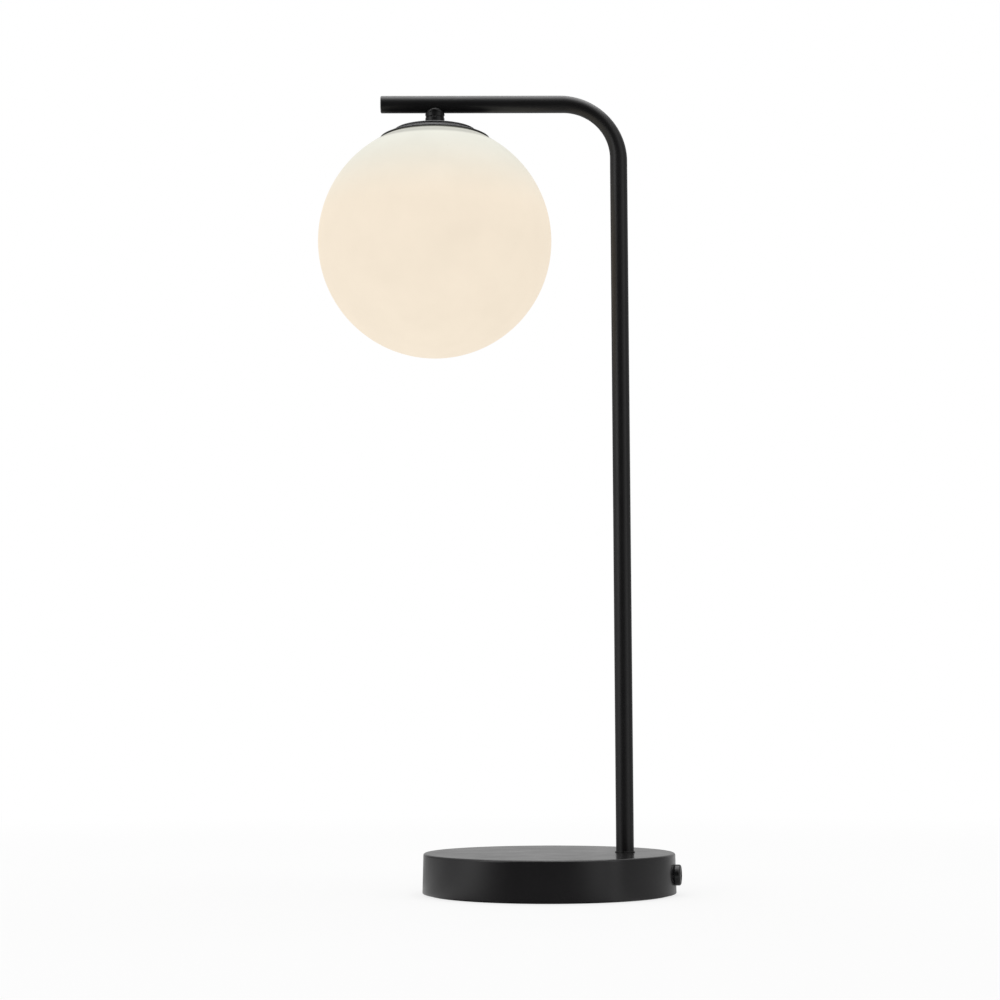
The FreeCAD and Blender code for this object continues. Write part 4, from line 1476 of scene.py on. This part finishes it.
@dataclass
class GlobeCap:
    """The stepped cap over the globe, with the seal and the nut under it."""

    sheet: float = 1.0 * MM
    step_radius: float = 31.0 * MM
    step_round: float = 1.0 * MM
    inner_round: float = 0.3 * MM
    bore_round: float = 0.15 * MM
    globe_gap: float = 0.35 * MM
    hole_gap: float = 0.2 * MM
    brim_steps: int = 14
    dome: float = 0.7 * MM
    dome_round: float = 4.0 * MM
    dome_shoulder: tuple[float, float] = (0.35, 0.85)
    lip_reach: float = 0.25 * MM
    lip_gap: float = 0.75 * MM
    lip_width: float = 1.6 * MM
    lip_round: float = 0.12 * MM
    seal_width: float = 2.9 * MM
    seal_round: float = 0.2 * MM

    def build(self) -> None:
        """Builds the cap, the seal and the locknut."""
        self.cap()
        self.seal()
        HexNut().fitted("cap_lock_nut", "cap_locknut")

    def cap(self) -> None:
        """The pressed cap: a flat with a rounded step, and a brim that follows the globe."""
        room = Room.of("globe_cap")
        middle = GLOBE_ROOM.low.z + GLOBE_ROOM.radius
        inner = GLOBE_ROOM.radius + self.globe_gap
        outer = inner + self.sheet
        bore = thread_bore(self.hole_gap)
        top, under = room.high.z, room.high.z - self.sheet
        inner_step = self.step_radius - self.sheet
        lip_ball = GLOBE_ROOM.radius + self.lip_gap
        edge = room.radius + self.lip_reach
        lip_edge = edge * lip_ball / outer
        across, up = self.dome_shoulder

        def height(ball: float, radius: float) -> float:
            """Height of a ball about the globe's middle, at a radius."""
            return middle + math.sqrt(ball ** 2 - radius ** 2)

        def brim(ball: float, first: float, last: float) -> list[Corner]:
            """The brim's outline on a ball about the globe's middle, from one radius to another."""
            return [Corner(radius, height(ball, radius)) for radius in spaced(first, last, self.brim_steps)]

        fit_turned("stepped_globe_cap", "globe_cap", [
            Corner(bore, top + self.dome, self.bore_round),
            Corner(self.step_radius * across, top + self.dome * up, self.dome_round),
            Corner(self.step_radius, top, self.step_round),
            *brim(outer, self.step_radius, edge - self.lip_width),
            Corner(edge, height(outer, edge), self.lip_round),
            Corner(lip_edge, height(lip_ball, lip_edge), self.lip_round),
            *brim(inner, lip_edge - self.lip_width, inner_step),
            Corner(inner_step, under, self.inner_round),
            Corner(bore, under, self.bore_round),
        ], room.ground, FINE_SIDES)

    def seal(self) -> None:
        """The silicone ring between the glass and the cap."""
        room = Room.of("glass_seal")
        inner, outer = room.radius - self.seal_width, room.radius
        section = ((inner, 0.0), (outer, 0.0), (outer, room.height), (inner, room.height))
        fit_turned("silicone_seal", "glass_seal", [
            Corner(radius, height, self.seal_round) for radius, height in section], room.foot)


@dataclass
class Globe:
    """The blown opal globe, open at its fire-polished mouth."""

    wall: float = 3.0 * MM
    mouth_radius: float = 28.0 * MM
    mouth_round: float = 0.9 * MM
    steps: int = 110

    def build(self) -> None:
        """Builds the globe."""
        radius = GLOBE_ROOM.radius
        middle = GLOBE_ROOM.low.z + radius
        outer, inner = (
            ball_arc(ball, middle, 0.0, math.pi - math.asin(self.mouth_radius / ball), self.steps)
            for ball in (radius, radius - self.wall))
        outer[-1] = replace(outer[-1], rounding=self.mouth_round)
        inner[-1] = replace(inner[-1], rounding=self.mouth_round)
        fit_turned("opal_glass_globe", "glass_globe", outer + inner[::-1], GLOBE_ROOM.ground, FINE_SIDES)


@dataclass
class Bulb:
    """The ball bulb: frosted glass, white neck, rolled screw cap and contact."""

    ball_radius: float = 22.5 * MM
    ball_steps: int = 40
    neck_radius: float = 14.2 * MM
    wall: float = 1.0 * MM
    shoulder_radius: float = 19.0 * MM
    edge_round: float = 0.3 * MM
    band_height: float = 1.2 * MM
    band_step: tuple[float, float, float] = (0.4 * MM, 0.5 * MM, 0.2 * MM)
    waist_draw: float = 2.5 * MM
    waist_height: float = 5.0 * MM
    waist_round: float = 2.0 * MM
    throat_radius: float = 8.6 * MM
    spigot_gap: float = 0.1 * MM
    thread_pitch: float = 2.8 * MM
    thread_depth: float = 0.55 * MM
    run_out_turns: float = 0.6
    cap_wall: float = 0.3 * MM
    cap_sides: int = 72
    rings_per_turn: int = 10
    tip_round: float = 0.1 * MM
    solder_round: float = 0.4 * MM
    solder_fullness: float = 0.95

    def build(self) -> None:
        """Builds the bulb's pieces."""
        self.glass()
        self.housing()
        self.screw_cap()
        self.contact()

    def glass(self) -> None:
        """The glass: a ball drawn in smoothly to its neck."""
        room = Room.of("bulb_glass")
        middle = room.low.z + self.ball_radius

        def form(inset: float) -> list[Corner]:
            """The glass's outline from its lowest point to its neck.

            Args:
                inset: How far inside the glass's outside it lies.

            Returns:
                Its corners.
            """
            angle = math.pi - math.asin((self.shoulder_radius - inset) / (self.ball_radius - inset))
            ball = ball_arc(self.ball_radius - inset, middle, 0.0, angle, self.ball_steps)
            return [*ball, Corner(self.neck_radius - inset, room.high.z)]

        outline = form(0.0) + form(self.wall)[::-1]
        fit_turned("frosted_bulb", "bulb_glass", outline, room.ground, FINE_SIDES)

    def housing(self) -> None:
        """The white neck between the glass and the screw cap."""
        room, cap = Room.of("bulb_housing"), Room.of("bulb_screw_cap")
        spigot = cap.radius - self.thread_depth - self.cap_wall - self.spigot_gap
        neck, low, edge = self.neck_radius, room.low.z, self.edge_round
        step_in, step_up, step_round = self.band_step
        fit_turned("bulb_neck_moulding", "bulb_housing", [
            Corner(0.0, low),
            Corner(neck, low, edge),
            Corner(neck, low + self.band_height, edge),
            Corner(neck - step_in, low + self.band_height + step_up, step_round),
            Corner(neck - self.waist_draw, low + self.waist_height, self.waist_round),
            Corner(self.throat_radius, cap.low.z, edge),
            Corner(spigot, cap.low.z),
            Corner(spigot, room.high.z, edge),
            Corner(0.0, room.high.z),
        ], room.ground)

    def screw_cap(self) -> None:
        """The nickel screw cap, with a round thread rolled into its thin wall."""
        room = Room.of("bulb_screw_cap")
        heights = spaced(0.0, room.height, int(room.height / self.thread_pitch * self.rings_per_turn))
        outer = [(room.radius, height) for height in heights]
        inner = [(room.radius - self.cap_wall, height) for height in heights[::-1]]
        sleeve = turned("bulb_screw_sleeve", outer + inner, room.foot, self.cap_sides)
        fit(ROLLED_THREAD.grow(sleeve, NICKEL, {
            "Axis": tuple(room.foot), "Pitch": self.thread_pitch, "Depth": self.thread_depth,
            "Low": room.low.z, "High": room.high.z, "Run Out": self.thread_pitch * self.run_out_turns,
        }), "bulb_screw_cap")

    def contact(self) -> None:
        """The soldered contact at the cap's tip."""
        room = Room.of("bulb_contact")
        fit_turned("bulb_tip_contact", "bulb_contact", [
            Corner(0.0, 0.0),
            Corner(room.radius, 0.0, self.tip_round),
            Corner(room.radius * self.solder_fullness, room.height / 2, self.solder_round),
            Corner(room.radius / 2, room.height * self.solder_fullness, self.solder_round),
            Corner(0.0, room.height),
        ], room.foot, SMALL_SIDES)


@dataclass
class Holder:
    """The moulded lampholder: its domed cap and its ribbed skirt."""

    wall: float = 1.3 * MM
    bore_gap: float = 0.05 * MM
    crown_radius: float = 9.5 * MM
    crown_round: float = 1.5 * MM
    dome_height: float = 9.0 * MM
    dome_round: float = 4.0 * MM
    ceiling: float = 6.0 * MM
    ceiling_radius: float = 7.5 * MM
    seam: float = 0.5 * MM
    edge_round: float = 0.3 * MM
    step_round: float = 0.2 * MM
    foot_round: float = 0.4 * MM
    band_height: float = 1.6 * MM
    band_round: float = 0.25 * MM
    top_round: float = 0.1 * MM
    ribs: int = 36
    rib_radius: float = 0.35 * MM
    rib_end: float = 3.0 * MM
    rib_rounding: float = 0.8
    rib_steps: int = 3
    rib_sides: int = 10

    def build(self) -> None:
        """Builds the holder's outer pieces."""
        self.cap()
        self.skirt()

    def cap(self) -> None:
        """The holder's domed cap."""
        room = Room.of("holder_cap")
        bore, radius = thread_bore(self.bore_gap), Room.of("holder_skirt").radius
        top, low = room.high.z, room.low.z
        shoulder, ceiling = top - self.dome_height, top - self.ceiling
        fit_turned("holder_dome", "holder_cap", [
            Corner(bore, top),
            Corner(self.crown_radius, top, self.crown_round),
            Corner(radius, shoulder, self.dome_round),
            Corner(radius, low + 2.0 * self.seam, self.edge_round),
            Corner(radius - self.seam, low + self.seam, self.step_round),
            Corner(radius - self.seam, low),
            Corner(radius - self.wall, low),
            Corner(radius - self.wall, shoulder),
            Corner(self.ceiling_radius, ceiling),
            Corner(bore, ceiling),
        ], room.ground)

    def skirt(self) -> None:
        """The skirt: a plain sleeve with grip ribs round it, joined to one mesh."""
        room = Room.of("holder_skirt")
        radius, low, high = room.radius, room.low.z, room.high.z
        wall_radius, band_top = radius - self.rib_radius, low + self.band_height
        sleeve = turned("holder_skirt_sleeve", rounded_outline([
            Corner(radius - self.wall, low, self.edge_round),
            Corner(radius, low, self.foot_round),
            Corner(radius, band_top, self.band_round),
            Corner(wall_radius, band_top + self.seam, self.step_round),
            Corner(wall_radius, high, self.top_round),
            Corner(radius - self.wall, high),
        ]), room.ground)
        start, end = low + self.rib_end, high - self.rib_end / 3
        rounding = self.rib_radius * self.rib_rounding
        rib = turned("grip_ribs", rounded_outline([
            Corner(0.0, start),
            Corner(self.rib_radius, start, rounding),
            Corner(self.rib_radius, end, rounding),
            Corner(0.0, end),
        ], self.rib_steps), Vector((wall_radius, 0.0, 0.0)), self.rib_sides)
        ribs = SET_ROUND.grow(rib, BLACK_MOULDING, {
            "Count": self.ribs, "Axis": tuple(room.ground), "First Turn": 0.0})
        fit(self.joined("ribbed_holder_skirt", sleeve, ribs), "holder_skirt")

    def joined(self, name: str, *parts: bpy.types.Object) -> bpy.types.Object:
        """Joins parts of one piece to one mesh.

        Args:
            name: The piece's name.
            parts: Its parts, removed here.

        Returns:
            The piece.
        """
        built = bmesh.new()
        for part in parts:
            built.from_mesh(part.data)
            bpy.data.objects.remove(part)
        return shaded(name, built)


def dress_kept_nodes() -> None:
    """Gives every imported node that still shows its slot's finish."""
    for name, node in sorted(frame["nodes"].items()):
        if node.hide_render:
            continue
        finish = FINISHES[SLOT_OF_NODE[name]]
        for place in node.material_slots:
            place.material = finish.material()
        LOG.info("%s keeps its packed mesh in %s", name, finish.name)


# ------------------------------------------------------------------ studio
@dataclass
class Softbox:
    """A large soft lamp that faces a point."""

    name: str
    place: Vector
    width: float
    height: float
    power: float
    target: Vector = Vector((0.0, 0.0, 0.3))

    def build(self) -> None:
        """Builds the lamp."""
        light = bpy.data.lights.new(self.name, "AREA")
        light.shape = "RECTANGLE"
        light.size = self.width
        light.size_y = self.height
        light.energy = self.power
        lamp = linked(self.name, light)
        lamp.location = self.place
        lamp.rotation_mode = "QUATERNION"
        lamp.rotation_quaternion = (self.target - self.place).to_track_quat("-Z", "Y")
        lamp.visible_camera = False
        LOG.info("lamp %s", self.name)


@dataclass(frozen=True)
class DimZone:
    """A part of the room that is darker than the white around it, as mirrors show it.

    It is fully dark up to the inner angle from its direction, and ends at the outer angle.
    """

    toward: Vector
    inner_degrees: float
    outer_degrees: float
    level: float

    def brightness(self, wiring: Wiring, direction: Socket) -> Socket:
        """How bright this zone leaves the room in a direction of length 1.

        Args:
            wiring: The material's wiring.
            direction: The direction.

        Returns:
            The share, 1 outside the zone.
        """
        nearness = wiring.vector("DOT_PRODUCT", direction, self.toward.normalized())
        inner, outer = (math.cos(math.radians(angle)) for angle in (self.inner_degrees, self.outer_degrees))
        return wiring.mapped(nearness, outer, inner, 1.0, self.level, Ease.SOFT)


@dataclass
class Studio:
    """The pale floor, the white surround, the lamps and the camera."""

    floor_radius: float = 6.0
    floor_gap: float = 0.1 * MM
    floor_tone: float = 0.9
    floor_glow: float = 0.78
    fade_start: float = 0.3
    fade_end: float = 1.4
    fill: float = 0.5
    dim_zones: tuple[DimZone, ...] = (
        DimZone(Vector((-0.2, -0.97, 0.05)), 22.0, 62.0, 0.04),
        DimZone(Vector((0.1, 0.99, 0.0)), 40.0, 75.0, 0.5),
        DimZone(Vector((-0.87, 0.5, 0.1)), 15.0, 50.0, 0.48),
        DimZone(Vector((0.99, -0.035, 0.1)), 25.0, 55.0, 0.35),
    )
    lamps: tuple[Softbox, ...] = (
        Softbox("left_softbox", Vector((-1.5, -1.1, 0.9)), 0.9, 1.4, 4.0),
        Softbox("right_strip", Vector((1.5, -0.9, 0.6)), 0.35, 1.6, 1.5),
        Softbox("top_softbox", Vector((0.0, 0.2, 2.0)), 1.8, 1.8, 24.0),
    )
    focal_pixels: float = 2079.8
    picture_pixels: float = 1000.0
    sensor: float = 36.0
    eye: Vector = Vector((-0.04106, -1.49725, 0.11875))
    pitch: float = 0.108
    yaw: float = -0.0046
    roll: float = -0.003

    def build(self) -> None:
        """Builds the studio."""
        bpy.context.scene.view_settings.view_transform = "Standard"
        self.surround()
        self.floor()
        for lamp in self.lamps:
            lamp.build()
        self.camera()

    def seen_directly(self, wiring: Wiring) -> Socket:
        """1 for what the camera, a mirror or glass shows, and 0 for what only lights the lamp."""
        rays = wiring.node("ShaderNodeLightPath").outputs
        return wiring.math("MAXIMUM", rays["Is Camera Ray"], wiring.math(
            "MAXIMUM", rays["Is Glossy Ray"], rays["Is Transmission Ray"]))

    def white(self, wiring: Wiring, kind: str, direction: Socket) -> Socket:
        """The white that is seen: full to the camera, and as the dim zones leave it in a mirror.

        Args:
            wiring: The material's wiring.
            kind: The type of the shader, a background or an emission.
            direction: The direction that the white is seen in, of length 1.

        Returns:
            The shader.
        """
        shown = wiring.product(1.0, *(zone.brightness(wiring, direction) for zone in self.dim_zones))
        direct = wiring.out("ShaderNodeLightPath", "Is Camera Ray")
        return wiring.out(kind, 0, {"Color": WHITE, "Strength": wiring.math("MAXIMUM", direct, shown)})

    def surround(self) -> None:
        """The world: white where it is seen, a softer fill where it lights."""
        world = bpy.data.worlds.new("white_surround")
        world.use_nodes = True
        world.node_tree.nodes.clear()
        wiring = Wiring(world.node_tree)
        lighting = wiring.out("ShaderNodeBackground", 0, {"Color": WHITE, "Strength": self.fill})
        seen = self.white(wiring, "ShaderNodeBackground", wiring.out("ShaderNodeTexCoord", "Generated"))
        surface = wiring.either(self.seen_directly(wiring), lighting, seen)
        wiring.node("ShaderNodeOutputWorld", {"Surface": surface})
        bpy.context.scene.world = world

    def floor(self) -> None:
        """The pale floor: it keeps the lamp's soft shadow and fades to white further off."""
        built = bmesh.new()
        bmesh.ops.create_circle(built, cap_ends=True, segments=PLAIN_SIDES, radius=self.floor_radius)
        bmesh.ops.translate(built, verts=built.verts, vec=-UP * self.floor_gap)
        mesh = bpy.data.meshes.new("pale_floor")
        built.to_mesh(mesh)
        built.free()
        mesh.materials.append(self.floor_material())
        linked("pale_floor", mesh)

    def floor_material(self) -> bpy.types.Material:
        """The floor's material: clear from below, so that the lamp is seen from there.

        Returns:
            The material.
        """
        made = bpy.data.materials.new("pale_floor")
        made.use_nodes = True
        made.node_tree.nodes.clear()
        wiring = Wiring(made.node_tree)
        place = wiring.out("ShaderNodeTexCoord", "Object")
        distance = wiring.vector("LENGTH", place)
        fade = wiring.mapped(distance, self.fade_start, self.fade_end, self.floor_glow, 1.0, Ease.SOFT)
        share = wiring.product(fade, self.seen_directly(wiring))
        matt = wiring.out("ShaderNodeBsdfDiffuse", "BSDF", {"Color": (self.floor_tone,) * 3})
        white = self.white(wiring, "ShaderNodeEmission", wiring.vector("NORMALIZE", place))
        under = wiring.out("ShaderNodeNewGeometry", "Backfacing")
        clear = wiring.out("ShaderNodeBsdfTransparent", "BSDF")
        surface = wiring.either(under, wiring.either(share, matt, white), clear)
        wiring.node("ShaderNodeOutputMaterial", {"Surface": surface})
        return made

    def camera(self) -> None:
        """The camera, as the photograph was taken."""
        data = bpy.data.cameras.new("camera")
        data.sensor_width = self.sensor
        data.lens = self.focal_pixels / self.picture_pixels * self.sensor
        camera = linked("camera", data)
        camera.matrix_world = (
            Matrix.Translation(self.eye)
            @ Matrix.Rotation(self.yaw, 4, "Z")
            @ Matrix.Rotation(math.pi / 2 + self.pitch, 4, "X")
            @ Matrix.Rotation(self.roll, 4, "Z")
        )
        bpy.context.scene.camera = camera


def main() -> None:
    """Builds the lamp's sub-assemblies in order, then the studio."""
    logging.basicConfig(level=logging.INFO, format="%(name)s: %(message)s")
    for assembly in (Base(), Post(), Neck(), GlobeCap(), Globe(), Bulb(), Holder()):
        assembly.build()
    dress_kept_nodes()
    Studio().build()


if __name__ == "__main__":
    main()
